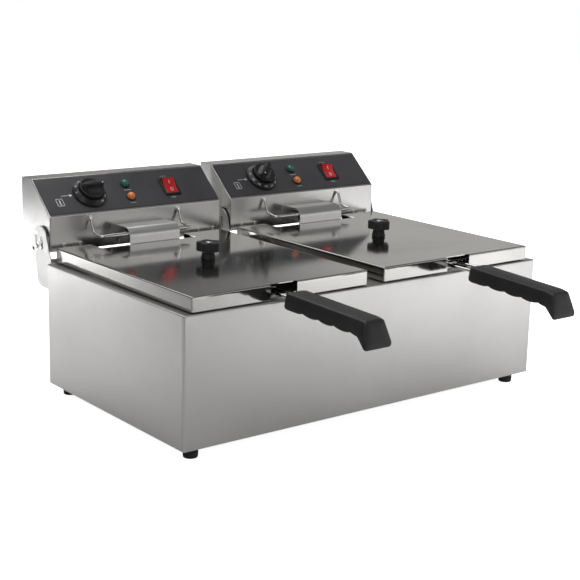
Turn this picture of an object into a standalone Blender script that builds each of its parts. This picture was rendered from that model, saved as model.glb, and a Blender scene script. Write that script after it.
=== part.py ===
"""A twin-tank countertop deep fryer, modelled as its separate working pieces.

Metres, +Z up. The front of the fryer faces -Y and its two halves stand side by
side along X. The origin lies on the floor, midway between the outermost points.
Inside the script, Y is measured from the casing's front face; one empty then
carries every piece back to the origin.
"""

import math

import bmesh
import bpy
from mathutils import Matrix, Vector

# ---- Driving sizes ---------------------------------------------------------
# Casing: a stainless sheet box on four rubber feet.
CASING_WIDTH = 0.560
CASING_DEPTH = 0.313
CASING_HEIGHT = 0.1564
CASING_CORNER = 0.0015
SHEET = 0.0012
FOOT_HEIGHT = 0.0115
FOOT_TOP_RADIUS = 0.0095
FOOT_BOTTOM_RADIUS = 0.0085
FOOT_INSET_LEFT = 0.017
FOOT_INSET_RIGHT = 0.030
FOOT_INSET_FRONT = 0.012
FOOT_INSET_REAR = 0.024

# Oil pots: one deep-drawn pan in each half, its rim standing above the deck.
POT_SIDE_MARGIN = 0.024
POT_REAR_MARGIN = 0.0065
POT_FRONT = 0.0145
POT_CORNER = 0.018
POT_WALL = 0.0010
POT_FLOOR_LIFT = 0.008
POT_RIM_LIFT = 0.0040
POT_FLANGE = 0.004
POT_FLOOR_TAPER = 0.010

# Lids: shallow folded pans that cover the pots.
LID_SIDE_MARGIN = 0.0124
LID_MIDDLE_GAP = 0.0269
LID_FRONT_SETBACK = 0.0043
LID_REAR_SETBACK = 0.0007
LID_SKIRT = 0.0175
LID_DECK_GAP = 0.0015
LID_SHEET = 0.0010
LID_CORNER = 0.0012
FRONT_NOTCH_WIDTH = 0.0386
FRONT_NOTCH_DEPTH = 0.004
REAR_NOTCH_CLEARANCE = 0.002

# Lid knob: a lobed star on a round stem.
KNOB_STEM_RADIUS = 0.0065
KNOB_STEM_HEIGHT = 0.0098
KNOB_STAR_RADIUS = 0.0138
KNOB_STAR_HEIGHT = 0.0118
KNOB_LOBES = 5
KNOB_LOBE_DEPTH = 0.0016

# Baskets, their wire stirrups and moulded grips.
BASKET_SIDE_GAP = 0.018
BASKET_FRONT_GAP = 0.0215
BASKET_REAR_GAP = 0.0425
BASKET_FLOOR_GAP = 0.0427
BASKET_TOP_GAP = 0.0065
BASKET_WALL = 0.0022
BASKET_CORNER = 0.016
BASKET_TAPER = 0.006
RIGHT_BASKET_FORWARD = 0.0145
STIRRUP_ROD = 0.0022
STIRRUP_SPREAD = 0.0105
STIRRUP_LIFT = 0.0011
GRIP_WIDTH = 0.034
GRIP_TOP_WIDTH = 0.025
GRIP_HEIGHT = 0.0175
GRIP_ABOVE_ROD = 0.0063
GRIP_LENGTH = 0.149
GRIP_START = 0.0120
GRIP_NOSE_WIDTH = 0.036
GRIP_NOSE_DROP = 0.0148
GRIP_NOSE_LENGTH = 0.020
GRIP_NOSE_LEAN = 0.27
GRIP_SLOPE = 0.0040
RIGHT_GRIP_SAG = 0.0030
GRIP_FINGERS = 5
GRIP_FINGER_DEPTH = 0.0022
GRIP_SOCKET_DEPTH = 0.030

# Control heads: sheet housings with a slanted fascia, hung behind the pots.
HEAD_SIDE_MARGIN = 0.0091
HEAD_FACE_SETBACK = 0.0078
HEAD_LIFT = 0.0122
HEAD_FACE_HEIGHT = 0.0452
HEAD_SLANT_RUN = 0.0489
HEAD_SLANT_RISE = 0.0424
HEAD_TOP_DEPTH = 0.0264
BACK_COVER_INSET = 0.0050

# Fascia: a black label sheet that carries dial, lamps and switch.
LABEL_SHEET = 0.0006
LABEL_SIDE_MARGIN = 0.0012
LABEL_END_MARGIN = 0.0030
DIAL_X = -0.0610
DIAL_S = 0.0315
DIAL_SKIRT_RADIUS = 0.0232
DIAL_TOP_RADIUS = 0.0160
DIAL_SKIRT_HEIGHT = 0.0075
DIAL_HEIGHT = 0.0125
DIAL_BAR_HEIGHT = 0.0085
DIAL_BAR_WIDTH = 0.0075
DIAL_LIFT = 0.0008
LEFT_DIAL_TURN = 0.0
RIGHT_DIAL_TURN = math.radians(-135.0)
SHAFT_RADIUS = 0.0030
THERMOSTAT_RADIUS = 0.0150
THERMOSTAT_DEPTH = 0.0240
LAMP_X = -0.0032
GREEN_LAMP_S = 0.0420
AMBER_LAMP_S = 0.0200
LAMP_RADIUS = 0.0052
LAMP_BEZEL_RADIUS = 0.0068
LAMP_DOME = 0.0050
LAMP_BODY_LENGTH = 0.020
SWITCH_X = 0.0630
SWITCH_S = 0.0315
SWITCH_WIDTH = 0.0250
SWITCH_LENGTH = 0.0300
SWITCH_FRAME = 0.0022
SWITCH_FRAME_HEIGHT = 0.0020
SWITCH_BODY_DEPTH = 0.022
ROCKER_TILT = math.radians(10.0)
ROCKER_RISE = 0.0022

# Lift-off brackets and the studs of the heads that rest in their slots.
BRACKET_SIDE_GAP = 0.0036
BRACKET_RISE = 0.0436
BRACKET_DROP = 0.0352
BRACKET_PLATE_RISE = 0.0054
BRACKET_PLATE_LIFT = 0.0040
BRACKET_EAR_RADIUS = 0.0185
BRACKET_EAR_SHIFT = 0.0020
BRACKET_NECK_RISE = 0.0140
BRACKET_NECK_REACH = 0.0055
BRACKET_FOOT_RADIUS = 0.0120
BRACKET_FOOT_REACH = 0.0260
STUD_RADIUS = 0.0022
SLOT_CLEARANCE = 0.0005
STUD_HEIGHT = 0.0044
FRONT_STUD_BACK = 0.0165
REAR_STUD_BACK = 0.0295
HEAD_TRAVEL = 0.0115
REAR_SLOT_EXTRA = 0.0048
STUD_PLATE = 0.0020
STUD_PROUD = 0.0016

# Heating element, its guard, the basket hook and the sensor.
ELEMENT_ROD = 0.0042
ELEMENT_LEG_SPREAD = 0.022
ELEMENT_LEG_FORWARD = 0.0203
ELEMENT_ENTRY_LIFT = 0.0155
ELEMENT_FLOOR_GAP = 0.014
ELEMENT_BEND = 0.012
ELEMENT_SIDE_GAP = 0.026
ELEMENT_FRONT_GAP = 0.036
ELEMENT_REAR_GAP = 0.060
ELEMENT_RETURN_GAP = 0.092
ELEMENT_TAIL = 0.020
GUARD_WIDTH = 0.0760
GUARD_OFFSET = 0.0028
GUARD_FORWARD = 0.0363
GUARD_TOP_LIFT = 0.0209
GUARD_ROUND = 0.0095
GUARD_DROP = 0.0044
GUARD_HOLE_EDGE = 0.0012
GUARD_SHEET = 0.0010
GUARD_TAB = 0.0065
HOOK_WIDTH = 0.1350
HOOK_OFFSET = -0.0065
HOOK_ROD = 0.0022
HOOK_ROOT_LIFT = 0.0395
HOOK_KNEE_LIFT = 0.0225
HOOK_KNEE_FORWARD = 0.0110
HOOK_BAR_LIFT = 0.0195
HOOK_BAR_FORWARD = 0.0308
BULB_RADIUS = 0.0034
BULB_FLOOR_GAP = 0.037
BULB_TAIL = 0.012

# Rear and inner fittings.
TERMINAL_X = 0.0200
TERMINAL_INSET = 0.0260
TERMINAL_WIDTH = 0.0440
TERMINAL_DEPTH = 0.0180
TERMINAL_HEIGHT = 0.0180
TERMINAL_GROOVE = 0.0050
TERMINAL_GROOVE_DEPTH = 0.0060
RESET_X = 0.0850
RESET_LIFT = 0.0480
RESET_RADIUS = 0.0045
RESET_PROUD = 0.0035
RESET_TRAVEL = 0.0025
GLAND_INSET_SIDE = 0.0140
GLAND_INSET_REAR = 0.0130
GLAND_RADIUS = 0.0075
GLAND_DROP = 0.0090
GLAND_BORE = 0.0036
GLAND_WALL = 0.0020

GAP = 0.0003
HOLE_CLEARANCE = 0.0004

# ---- Sizes that follow from them -------------------------------------------
FLOOR = FOOT_HEIGHT
DECK = FLOOR + CASING_HEIGHT
HALF_PITCH = CASING_WIDTH / 4
POT_WIDTH = CASING_WIDTH / 2 - 2 * POT_SIDE_MARGIN
POT_REAR = CASING_DEPTH - POT_REAR_MARGIN
LID_WIDTH = (CASING_WIDTH - 2 * LID_SIDE_MARGIN - LID_MIDDLE_GAP) / 2
LID_CENTRE = CASING_WIDTH / 2 - LID_SIDE_MARGIN - LID_WIDTH / 2
LID_TOP = DECK + LID_DECK_GAP + LID_SKIRT
LID_REAR = CASING_DEPTH - LID_REAR_SETBACK
POT_FLOOR = FLOOR + POT_FLOOR_LIFT
POT_RIM = DECK + POT_RIM_LIFT
HEAD_WIDTH = CASING_WIDTH / 2 - 2 * HEAD_SIDE_MARGIN
HEAD_FACE = CASING_DEPTH + HEAD_FACE_SETBACK
HEAD_BOTTOM = DECK + HEAD_LIFT
SLANT_BOTTOM = HEAD_BOTTOM + HEAD_FACE_HEIGHT
SLANT_TOP = SLANT_BOTTOM + HEAD_SLANT_RISE
HEAD_BACK = HEAD_FACE + HEAD_SLANT_RUN + HEAD_TOP_DEPTH
SLANT_LENGTH = math.hypot(HEAD_SLANT_RUN, HEAD_SLANT_RISE)
SLANT_ANGLE = math.atan2(HEAD_SLANT_RISE, HEAD_SLANT_RUN)
ELEMENT_LEG_Y = HEAD_FACE - ELEMENT_LEG_FORWARD
ELEMENT_Z = POT_FLOOR + POT_WALL + ELEMENT_FLOOR_GAP
GUARD_FRONT = HEAD_FACE - GUARD_FORWARD
HOOK_BAR_Y = HEAD_FACE - HOOK_BAR_FORWARD
STIRRUP_Z = POT_RIM + GAP + STIRRUP_ROD + STIRRUP_LIFT
BASKET_WIDTH = POT_WIDTH - 2 * BASKET_SIDE_GAP
BASKET_FRONT = POT_FRONT + BASKET_FRONT_GAP
BASKET_REAR = ELEMENT_LEG_Y - BASKET_REAR_GAP
BASKET_TOP = LID_TOP - LID_SHEET - BASKET_TOP_GAP
BASKET_BOTTOM = ELEMENT_Z + ELEMENT_ROD + BASKET_FLOOR_GAP
GRIP_TIP = -(GRIP_START + GRIP_LENGTH + RIGHT_BASKET_FORWARD)
MIDDLE_Y = (GRIP_TIP + HEAD_BACK) / 2

STEEL = ((0.62, 0.62, 0.61), 0.32, 1.0)
POLISHED = ((0.70, 0.70, 0.70), 0.15, 1.0)
CHROME = ((0.80, 0.80, 0.80), 0.08, 1.0)
BLACK = ((0.02, 0.02, 0.02), 0.45, 0.0)
RUBBER = ((0.015, 0.015, 0.015), 0.8, 0.0)
LABEL = ((0.05, 0.05, 0.055), 0.5, 0.0)
RED = ((0.70, 0.02, 0.03), 0.3, 0.0)
GREEN = ((0.02, 0.25, 0.18), 0.2, 0.0)
AMBER = ((0.85, 0.30, 0.05), 0.2, 0.0)
CERAMIC = ((0.85, 0.83, 0.78), 0.6, 0.0)
DARK_STEEL = ((0.25, 0.24, 0.23), 0.45, 1.0)


# ---- Modelling helpers -----------------------------------------------------
def paint(obj, look):
    """Gives a piece its own Principled material."""
    colour, roughness, metallic = look
    material = bpy.data.materials.new(obj.name)
    material.use_nodes = True
    shader = material.node_tree.nodes["Principled BSDF"]
    shader.inputs["Base Color"].default_value = (*colour, 1.0)
    shader.inputs["Roughness"].default_value = roughness
    shader.inputs["Metallic"].default_value = metallic
    material.diffuse_color = (*colour, 1.0)
    obj.data.materials.clear()
    obj.data.materials.append(material)


def put(name, data, look=None, origin=(0, 0, 0), turn=None):
    """Links a mesh or curve as a named piece under the fryer's empty."""
    obj = bpy.data.objects.new(name, data)
    bpy.context.collection.objects.link(obj)
    obj.parent = FRYER
    obj.matrix_parent_inverse = Matrix()
    obj.location = origin
    if turn is not None:
        obj.rotation_euler = turn
    if look is not None:
        paint(obj, look)
    return obj


def mesh_from(name, bm):
    """Turns a bmesh into a mesh with outward normals and smooth round sides."""
    bmesh.ops.recalc_face_normals(bm, faces=bm.faces)
    mesh = bpy.data.meshes.new(name)
    bm.to_mesh(mesh)
    bm.free()
    mesh.shade_smooth()
    mesh.set_sharp_from_angle(angle=math.radians(30))
    return mesh


def loft(name, rings):
    """Skins a list of equal closed rings and caps both ends."""
    bm = bmesh.new()
    rows = [[bm.verts.new(point) for point in ring] for ring in rings]
    count = len(rows[0])
    for low, high in zip(rows, rows[1:]):
        for i in range(count):
            j = (i + 1) % count
            bm.faces.new((low[i], low[j], high[j], high[i]))
    bm.faces.new(rows[0])
    bm.faces.new(rows[-1])
    return mesh_from(name, bm)


def prism_x(name, outline, low, high):
    """Extrudes a closed (y, z) outline along X."""
    return loft(name, [[(x, y, z) for y, z in outline] for x in (low, high)])


def prism_z(name, outline, low, high):
    """Extrudes a closed (x, y) outline along Z."""
    return loft(name, [[(x, y, z) for x, y in outline] for z in (low, high)])


def box(name, low, high):
    """A plain block between two corners."""
    outline = [(low[0], low[1]), (high[0], low[1]), (high[0], high[1]), (low[0], high[1])]
    return prism_z(name, outline, low[2], high[2])


def arc(centre, radius, start, end, steps):
    """Points of a circular arc, both ends included; angles in degrees."""
    angles = [math.radians(start + (end - start) * i / steps) for i in range(steps + 1)]
    return [(centre[0] + radius * math.cos(a), centre[1] + radius * math.sin(a)) for a in angles]


def round_rectangle(low, high, radius, steps=3):
    """A rectangle's outline with rounded corners, anticlockwise."""
    points = []
    corners = (
        (high[0] - radius, low[1] + radius, -90),
        (high[0] - radius, high[1] - radius, 0),
        (low[0] + radius, high[1] - radius, 90),
        (low[0] + radius, low[1] + radius, 180),
    )
    for x, y, start in corners:
        points += arc((x, y), radius, start, start + 90, steps)
    return points


def turned(name, profile, sides=24):
    """Turns (radius, z) points about Z; the ends close on the axis or as discs."""
    rings = []
    for radius, z in profile:
        rings.append([
            (radius * math.cos(2 * math.pi * i / sides), radius * math.sin(2 * math.pi * i / sides), z)
            for i in range(sides)
        ])
    return loft(name, rings)


def rounded_path(corners, radius, steps=4):
    """A path through corner points with each inner corner turned into an arc."""
    points = [Vector(corners[0])]
    for before, corner, after in zip(corners, corners[1:], corners[2:]):
        corner = Vector(corner)
        back = (Vector(before) - corner).normalized()
        ahead = (Vector(after) - corner).normalized()
        half = back.angle(ahead) / 2
        reach = radius / math.tan(half)
        centre = corner + (back + ahead).normalized() * (radius / math.sin(half))
        start = corner + back * reach - centre
        end = corner + ahead * reach - centre
        for i in range(steps + 1):
            points.append(centre + start.slerp(end, i / steps).normalized() * radius)
    points.append(Vector(corners[-1]))
    return points


def rod(name, points, radius, resolution=2):
    """A round rod along a path, with closed ends."""
    curve = bpy.data.curves.new(name, "CURVE")
    curve.dimensions = "3D"
    curve.bevel_depth = radius
    curve.bevel_resolution = resolution
    curve.use_fill_caps = True
    spline = curve.splines.new("POLY")
    spline.points.add(len(points) - 1)
    for slot, point in zip(spline.points, points):
        slot.co = (*point, 1.0)
    return curve


def cut(obj, cutter_mesh, origin=(0, 0, 0), turn=None):
    """Cuts a hidden mesh out of a piece."""
    cutter = put(f"{obj.name}_cutter", cutter_mesh, origin=origin, turn=turn)
    cutter.hide_render = True
    cutter.display_type = "WIRE"
    modifier = obj.modifiers.new("cut", "BOOLEAN")
    modifier.operation = "DIFFERENCE"
    modifier.solver = "EXACT"
    modifier.object = cutter


def join(obj, extra_mesh, origin=(0, 0, 0), turn=None):
    """Welds a hidden overlapping mesh onto a piece."""
    extra = put(f"{obj.name}_extra", extra_mesh, origin=origin, turn=turn)
    extra.hide_render = True
    extra.display_type = "WIRE"
    modifier = obj.modifiers.new("join", "BOOLEAN")
    modifier.operation = "UNION"
    modifier.solver = "EXACT"
    modifier.object = extra


def on_slant(centre, along, proud=0.0):
    """A point on a head's slanted fascia: its X, its distance up the slope, its height."""
    return Vector((
        centre,
        HEAD_FACE + along * math.cos(SLANT_ANGLE) - proud * math.sin(SLANT_ANGLE),
        SLANT_BOTTOM + along * math.sin(SLANT_ANGLE) + proud * math.cos(SLANT_ANGLE),
    ))


SLANT_TURN = (SLANT_ANGLE, 0, 0)


# ---- Casing and feet -------------------------------------------------------
def casing():
    """Front, sides, back and deck in one folded shell, open below."""
    half = CASING_WIDTH / 2
    outline = round_rectangle((-half, 0), (half, CASING_DEPTH), CASING_CORNER, 2)
    shell = put("casing", prism_z("casing", outline, FLOOR, DECK), STEEL)
    inner = box(
        "casing_inside",
        (-half + SHEET, SHEET, FLOOR - SHEET),
        (half - SHEET, CASING_DEPTH - SHEET, DECK - SHEET),
    )
    cut(shell, inner)
    for x in (-HALF_PITCH, HALF_PITCH):
        grow = HOLE_CLEARANCE
        hole = round_rectangle(
            (x - POT_WIDTH / 2 - grow, POT_FRONT - grow),
            (x + POT_WIDTH / 2 + grow, POT_REAR + grow),
            POT_CORNER + grow,
        )
        cut(shell, prism_z("pot_hole", hole, DECK - 2 * SHEET, DECK + SHEET))


def base_plate():
    """The flat bottom pan, just inside the casing's lower edge."""
    half = CASING_WIDTH / 2 - SHEET - GAP
    low = (-half, SHEET + GAP, FLOOR + GAP)
    high = (half, CASING_DEPTH - SHEET - GAP, FLOOR + GAP + SHEET)
    put("base_plate", box("base_plate", low, high), STEEL)


def feet():
    """Four tapered rubber feet under the corners."""
    left = -CASING_WIDTH / 2 + FOOT_INSET_LEFT
    right = CASING_WIDTH / 2 - FOOT_INSET_RIGHT
    front = FOOT_INSET_FRONT
    rear = CASING_DEPTH - FOOT_INSET_REAR
    edge = 0.0010
    profile = [
        (FOOT_BOTTOM_RADIUS - edge, 0),
        (FOOT_BOTTOM_RADIUS, edge),
        (FOOT_TOP_RADIUS, FOOT_HEIGHT - edge),
        (FOOT_TOP_RADIUS - edge / 2, FOOT_HEIGHT),
    ]
    for name, x, y in (
        ("foot_front_left", left, front),
        ("foot_front_right", right, front),
        ("foot_rear_left", left, rear),
        ("foot_rear_right", right, rear),
    ):
        put(name, turned(name, profile, 12), RUBBER, (x, y, 0))


# ---- Pots, lids and knobs --------------------------------------------------
def oil_pot(side, x):
    """A deep pan with rounded corners, a flange on the deck and a standing rim."""
    low = (x - POT_WIDTH / 2, POT_FRONT)
    high = (x + POT_WIDTH / 2, POT_REAR)

    def ring(grow, z):
        corner = POT_CORNER + grow
        outline = round_rectangle(
            (low[0] - grow, low[1] - grow), (high[0] + grow, high[1] + grow), corner
        )
        return [(px, py, z) for px, py in outline]

    flange = DECK + GAP
    taper = -POT_FLOOR_TAPER
    rings = [
        ring(taper, POT_FLOOR),
        ring(0, POT_FLOOR - taper),
        ring(0, flange),
        ring(POT_FLANGE, flange),
        ring(POT_FLANGE, flange + POT_WALL),
        ring(0, flange + POT_WALL),
        ring(0, POT_RIM),
        ring(-POT_WALL, POT_RIM),
        ring(-POT_WALL, POT_FLOOR - taper),
        ring(taper - POT_WALL, POT_FLOOR + POT_WALL),
    ]
    name = f"oil_pot_{side}"
    put(name, loft(name, rings), POLISHED)


def lid(side, x):
    """A folded pan lid, notched for the stirrup in front and the guard behind."""
    half = LID_WIDTH / 2
    bottom = LID_TOP - LID_SKIRT
    outline = round_rectangle((x - half, LID_FRONT_SETBACK), (x + half, LID_REAR), LID_CORNER, 2)
    name = f"lid_{side}"
    cover = put(name, prism_z(name, outline, bottom, LID_TOP), POLISHED)
    inner = box(
        "lid_inside",
        (x - half + LID_SHEET, LID_FRONT_SETBACK + LID_SHEET, bottom - LID_SHEET),
        (x + half - LID_SHEET, LID_REAR - LID_SHEET, LID_TOP - LID_SHEET),
    )
    cut(cover, inner)
    front = box(
        "front_notch",
        (x - FRONT_NOTCH_WIDTH / 2, LID_FRONT_SETBACK - SHEET, bottom - SHEET),
        (x + FRONT_NOTCH_WIDTH / 2, LID_FRONT_SETBACK + FRONT_NOTCH_DEPTH, LID_TOP + SHEET),
    )
    cut(cover, front)
    cut(cover, rear_notch(side))


def rear_notch(side):
    """The opening that lets a lid rise past the basket hook and the guard."""
    x = HALF_PITCH * (1 if side == "right" else -1)
    reach = HOOK_WIDTH / 2 + HOOK_ROD + REAR_NOTCH_CLEARANCE
    return box(
        "rear_notch",
        (x + HOOK_OFFSET - reach, GUARD_FRONT - REAR_NOTCH_CLEARANCE, LID_TOP - LID_SKIRT - SHEET),
        (x + HOOK_OFFSET + reach, LID_REAR + SHEET, LID_TOP + SHEET),
    )


def lid_knob(side, x):
    """A black star knob on a stem, screwed to the middle of the lid."""
    name = f"lid_knob_{side}"
    stem_top = KNOB_STEM_HEIGHT
    top = stem_top + KNOB_STAR_HEIGHT
    edge = 0.0014
    steps = 30

    def ring(radius, lobed, z):
        points = []
        for i in range(steps):
            angle = 2 * math.pi * i / steps
            wave = KNOB_LOBE_DEPTH * math.cos(KNOB_LOBES * angle) * lobed
            points.append(((radius + wave) * math.cos(angle), (radius + wave) * math.sin(angle), z))
        return points

    rings = [
        ring(KNOB_STEM_RADIUS, 0, 0),
        ring(KNOB_STEM_RADIUS, 0, stem_top),
        ring(KNOB_STAR_RADIUS - edge, 1, stem_top),
        ring(KNOB_STAR_RADIUS, 1, stem_top + edge),
        ring(KNOB_STAR_RADIUS, 1, top - edge),
        ring(KNOB_STAR_RADIUS - edge, 1, top),
    ]
    middle = (x, (LID_FRONT_SETBACK + LID_REAR) / 2, LID_TOP + GAP)
    put(name, loft(name, rings), BLACK, middle)


# ---- Baskets ---------------------------------------------------------------
def basket(side, x, forward):
    """The frying basket as one open box; its mesh is a matter of finish."""
    half = BASKET_WIDTH / 2
    front = BASKET_FRONT - forward
    rear = BASKET_REAR - forward

    def ring(grow, z):
        outline = round_rectangle(
            (x - half - grow, front - grow), (x + half + grow, rear + grow), BASKET_CORNER + grow, 3
        )
        return [(px, py, z) for px, py in outline]

    slope = -BASKET_TAPER
    rings = [
        ring(slope, BASKET_BOTTOM),
        ring(0, BASKET_TOP),
        ring(-BASKET_WALL, BASKET_TOP),
        ring(slope - BASKET_WALL, BASKET_BOTTOM + BASKET_WALL),
    ]
    name = f"basket_{side}"
    put(name, loft(name, rings), CHROME)


def stirrup(side, x, forward):
    """The wire loop that hooks the basket's rim to the grip, one rod bent in a U."""
    y_rim = BASKET_FRONT - forward - GAP - STIRRUP_ROD
    y_end = -GRIP_START - forward - GRIP_SOCKET_DEPTH + 0.002
    spread = STIRRUP_SPREAD
    path = rounded_path(
        [
            (x - spread, y_end, STIRRUP_Z),
            (x - spread, y_rim, STIRRUP_Z),
            (x + spread, y_rim, STIRRUP_Z),
            (x + spread, y_end, STIRRUP_Z),
        ],
        0.006,
        3,
    )
    name = f"basket_stirrup_{side}"
    put(name, rod(name, path, STIRRUP_ROD), CHROME)


def grip(side, x, forward, sag):
    """The moulded grip: a trapezium bar with finger waves below and a dropped nose."""
    name = f"basket_grip_{side}"
    start = -GRIP_START - forward
    bar_end = GRIP_LENGTH - GRIP_NOSE_LENGTH
    slope = (GRIP_SLOPE + sag) / GRIP_LENGTH
    top_start = STIRRUP_Z + GRIP_ABOVE_ROD
    corner = 0.0035

    def ring(along, deep, wide, narrow, lean=0.0, sink=0.0):
        half = wide / 2
        half_top = narrow / 2
        points = [
            (-half_top + corner, 0.0), (half_top - corner, 0.0), (half_top, corner),
            (half, deep - corner), (half - corner, deep), (-half + corner, deep),
            (-half, deep - corner), (-half_top, corner),
        ]
        top = top_start - slope * along - sink
        return [(x + px, start - along - lean * depth, top - depth) for px, depth in points]

    tuck = 0.0020
    narrowing = 0.009
    rings = [ring(0.0, GRIP_HEIGHT - 2 * tuck, GRIP_WIDTH - narrowing, GRIP_TOP_WIDTH - narrowing, sink=tuck)]
    first = 0.004
    waves = GRIP_FINGERS * 4
    for i in range(waves + 1):
        along = first + (bar_end - first) * i / waves
        wave = GRIP_FINGER_DEPTH / 2 * (1 + math.cos(2 * math.pi * GRIP_FINGERS * i / waves))
        rings.append(ring(along, GRIP_HEIGHT - wave, GRIP_WIDTH, GRIP_TOP_WIDTH))
    nose_deep = GRIP_HEIGHT + GRIP_NOSE_DROP
    nose_end = GRIP_LENGTH - GRIP_NOSE_LEAN * nose_deep
    for share in (0.35, 0.7, 1.0):
        along = bar_end + (nose_end - bar_end) * share
        deep = GRIP_HEIGHT + GRIP_NOSE_DROP * share
        rings.append(ring(along, deep, GRIP_NOSE_WIDTH, GRIP_TOP_WIDTH, GRIP_NOSE_LEAN * share))
    handle = put(name, loft(name, rings), BLACK)
    reach = STIRRUP_ROD + HOLE_CLEARANCE
    for dx in (-STIRRUP_SPREAD, STIRRUP_SPREAD):
        bore = turned("bore", [(reach, -0.001), (reach, GRIP_SOCKET_DEPTH)], 12)
        cut(handle, bore, (x + dx, start, STIRRUP_Z), (math.radians(90), 0, 0))


# ---- Control heads ---------------------------------------------------------
def head_outline(inset=0.0):
    """The side view of a head's housing, drawn in by a wall if asked."""
    tuck = inset * math.tan(SLANT_ANGLE / 2)
    lean = inset * math.tan((math.pi / 2 - SLANT_ANGLE) / 2)
    return [
        (HEAD_FACE + inset, HEAD_BOTTOM + inset),
        (HEAD_BACK - inset, HEAD_BOTTOM + inset),
        (HEAD_BACK - inset, SLANT_TOP - inset),
        (HEAD_FACE + HEAD_SLANT_RUN + tuck, SLANT_TOP - inset),
        (HEAD_FACE + inset, SLANT_BOTTOM - lean),
    ]


def head_housing(side, x):
    """The folded stainless housing, open at the back, pierced for all it carries."""
    half = HEAD_WIDTH / 2
    name = f"head_housing_{side}"
    housing = put(name, prism_x(name, head_outline(), x - half, x + half), STEEL)
    inner = prism_x("housing_inside", head_outline(SHEET), x - half + SHEET, x + half - SHEET)
    cut(housing, inner)
    mouth = box(
        "housing_mouth",
        (x - half + SHEET, HEAD_BACK - 4 * SHEET, HEAD_BOTTOM + SHEET),
        (x + half - SHEET, HEAD_BACK + SHEET, SLANT_TOP - SHEET),
    )
    cut(housing, mouth)
    pierce_slant(housing, x, SHEET)
    for dx in (-ELEMENT_LEG_SPREAD, ELEMENT_LEG_SPREAD):
        face_hole(housing, x + GUARD_OFFSET + dx, HEAD_BOTTOM + ELEMENT_ENTRY_LIFT, ELEMENT_ROD)
    face_hole(housing, x + GUARD_OFFSET, HEAD_BOTTOM + ELEMENT_ENTRY_LIFT, BULB_RADIUS)
    for dx in (-HOOK_WIDTH / 2, HOOK_WIDTH / 2):
        face_hole(housing, x + HOOK_OFFSET + dx, HEAD_BOTTOM + HOOK_ROOT_LIFT, HOOK_ROD)
    for dx in (-half, half):
        for back in (FRONT_STUD_BACK, REAR_STUD_BACK):
            reach = STUD_RADIUS + HOLE_CLEARANCE
            bore = turned("stud_hole", [(reach, -2 * SHEET), (reach, 2 * SHEET)], 12)
            spot = (x + dx, HEAD_FACE + back, HEAD_BOTTOM + STUD_HEIGHT)
            cut(housing, bore, spot, (0, math.radians(90), 0))
    reach = GLAND_BORE + GLAND_WALL + HOLE_CLEARANCE
    bore = turned("gland_hole", [(reach, -2 * SHEET), (reach, 2 * SHEET)], 16)
    cut(housing, bore, gland_spot(x))


def face_hole(housing, x, z, radius):
    """A round hole through a head's upright face."""
    reach = radius + HOLE_CLEARANCE
    bore = turned("face_hole", [(reach, -2 * SHEET), (reach, 2 * SHEET)], 12)
    cut(housing, bore, (x, HEAD_FACE, z), (math.radians(90), 0, 0))


def pierce_slant(piece, x, wall):
    """Cuts the openings for dial shaft, lamps and switch through the slanted sheet."""
    deep = 3 * wall
    for dx, along, radius in (
        (DIAL_X, DIAL_S, SHAFT_RADIUS),
        (LAMP_X, GREEN_LAMP_S, LAMP_RADIUS),
        (LAMP_X, AMBER_LAMP_S, LAMP_RADIUS),
    ):
        reach = radius + HOLE_CLEARANCE
        bore = turned("slant_hole", [(reach, -deep), (reach, deep)], 16)
        cut(piece, bore, on_slant(x + dx, along), SLANT_TURN)
    half_x = SWITCH_WIDTH / 2 - SWITCH_FRAME + HOLE_CLEARANCE
    half_y = SWITCH_LENGTH / 2 - SWITCH_FRAME + HOLE_CLEARANCE
    window = box("switch_window", (-half_x, -half_y, -deep), (half_x, half_y, deep))
    cut(piece, window, on_slant(x + SWITCH_X, SWITCH_S), SLANT_TURN)


def head_back(side, x):
    """The flat rear cover, set inside the housing's mouth, with the reset hole."""
    half = HEAD_WIDTH / 2 - SHEET - GAP
    name = f"head_back_cover_{side}"
    low = (x - half, HEAD_BACK - BACK_COVER_INSET - SHEET, HEAD_BOTTOM + SHEET + GAP)
    high = (x + half, HEAD_BACK - BACK_COVER_INSET, SLANT_TOP - SHEET - GAP)
    cover = put(name, box(name, low, high), STEEL)
    reach = RESET_RADIUS + HOLE_CLEARANCE
    bore = turned("reset_hole", [(reach, -2 * SHEET), (reach, 2 * SHEET)], 16)
    spot = (x + RESET_X, HEAD_BACK - BACK_COVER_INSET, HEAD_BOTTOM + RESET_LIFT)
    cut(cover, bore, spot, (math.radians(90), 0, 0))


def label_panel(side, x):
    """The black fascia sheet on the slope, with the same openings as the housing."""
    half = HEAD_WIDTH / 2 - LABEL_SIDE_MARGIN
    name = f"label_panel_{side}"
    middle = on_slant(x, SLANT_LENGTH / 2, GAP)
    long = SLANT_LENGTH / 2 - LABEL_END_MARGIN
    panel = put(name, box(name, (-half, -long, 0), (half, long, LABEL_SHEET)), LABEL, middle, SLANT_TURN)
    pierce_slant(panel, x, SHEET)


def thermostat(side, x):
    """The capillary thermostat behind the fascia, with its dial shaft."""
    name = f"thermostat_{side}"
    body = THERMOSTAT_RADIUS
    deep = THERMOSTAT_DEPTH
    neck = body / 2
    shoulder = 0.0005
    shaft_top = GAP + LABEL_SHEET + DIAL_LIFT + DIAL_HEIGHT * 0.6
    back = -SHEET - GAP
    rings = [
        (body, back - deep), (body, back - neck / 2), (neck, back - neck / 2 + shoulder), (neck, back),
        (SHAFT_RADIUS, back), (SHAFT_RADIUS, shaft_top),
    ]
    put(name, turned(name, rings, 16), CERAMIC, on_slant(x + DIAL_X, DIAL_S), SLANT_TURN)


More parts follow.
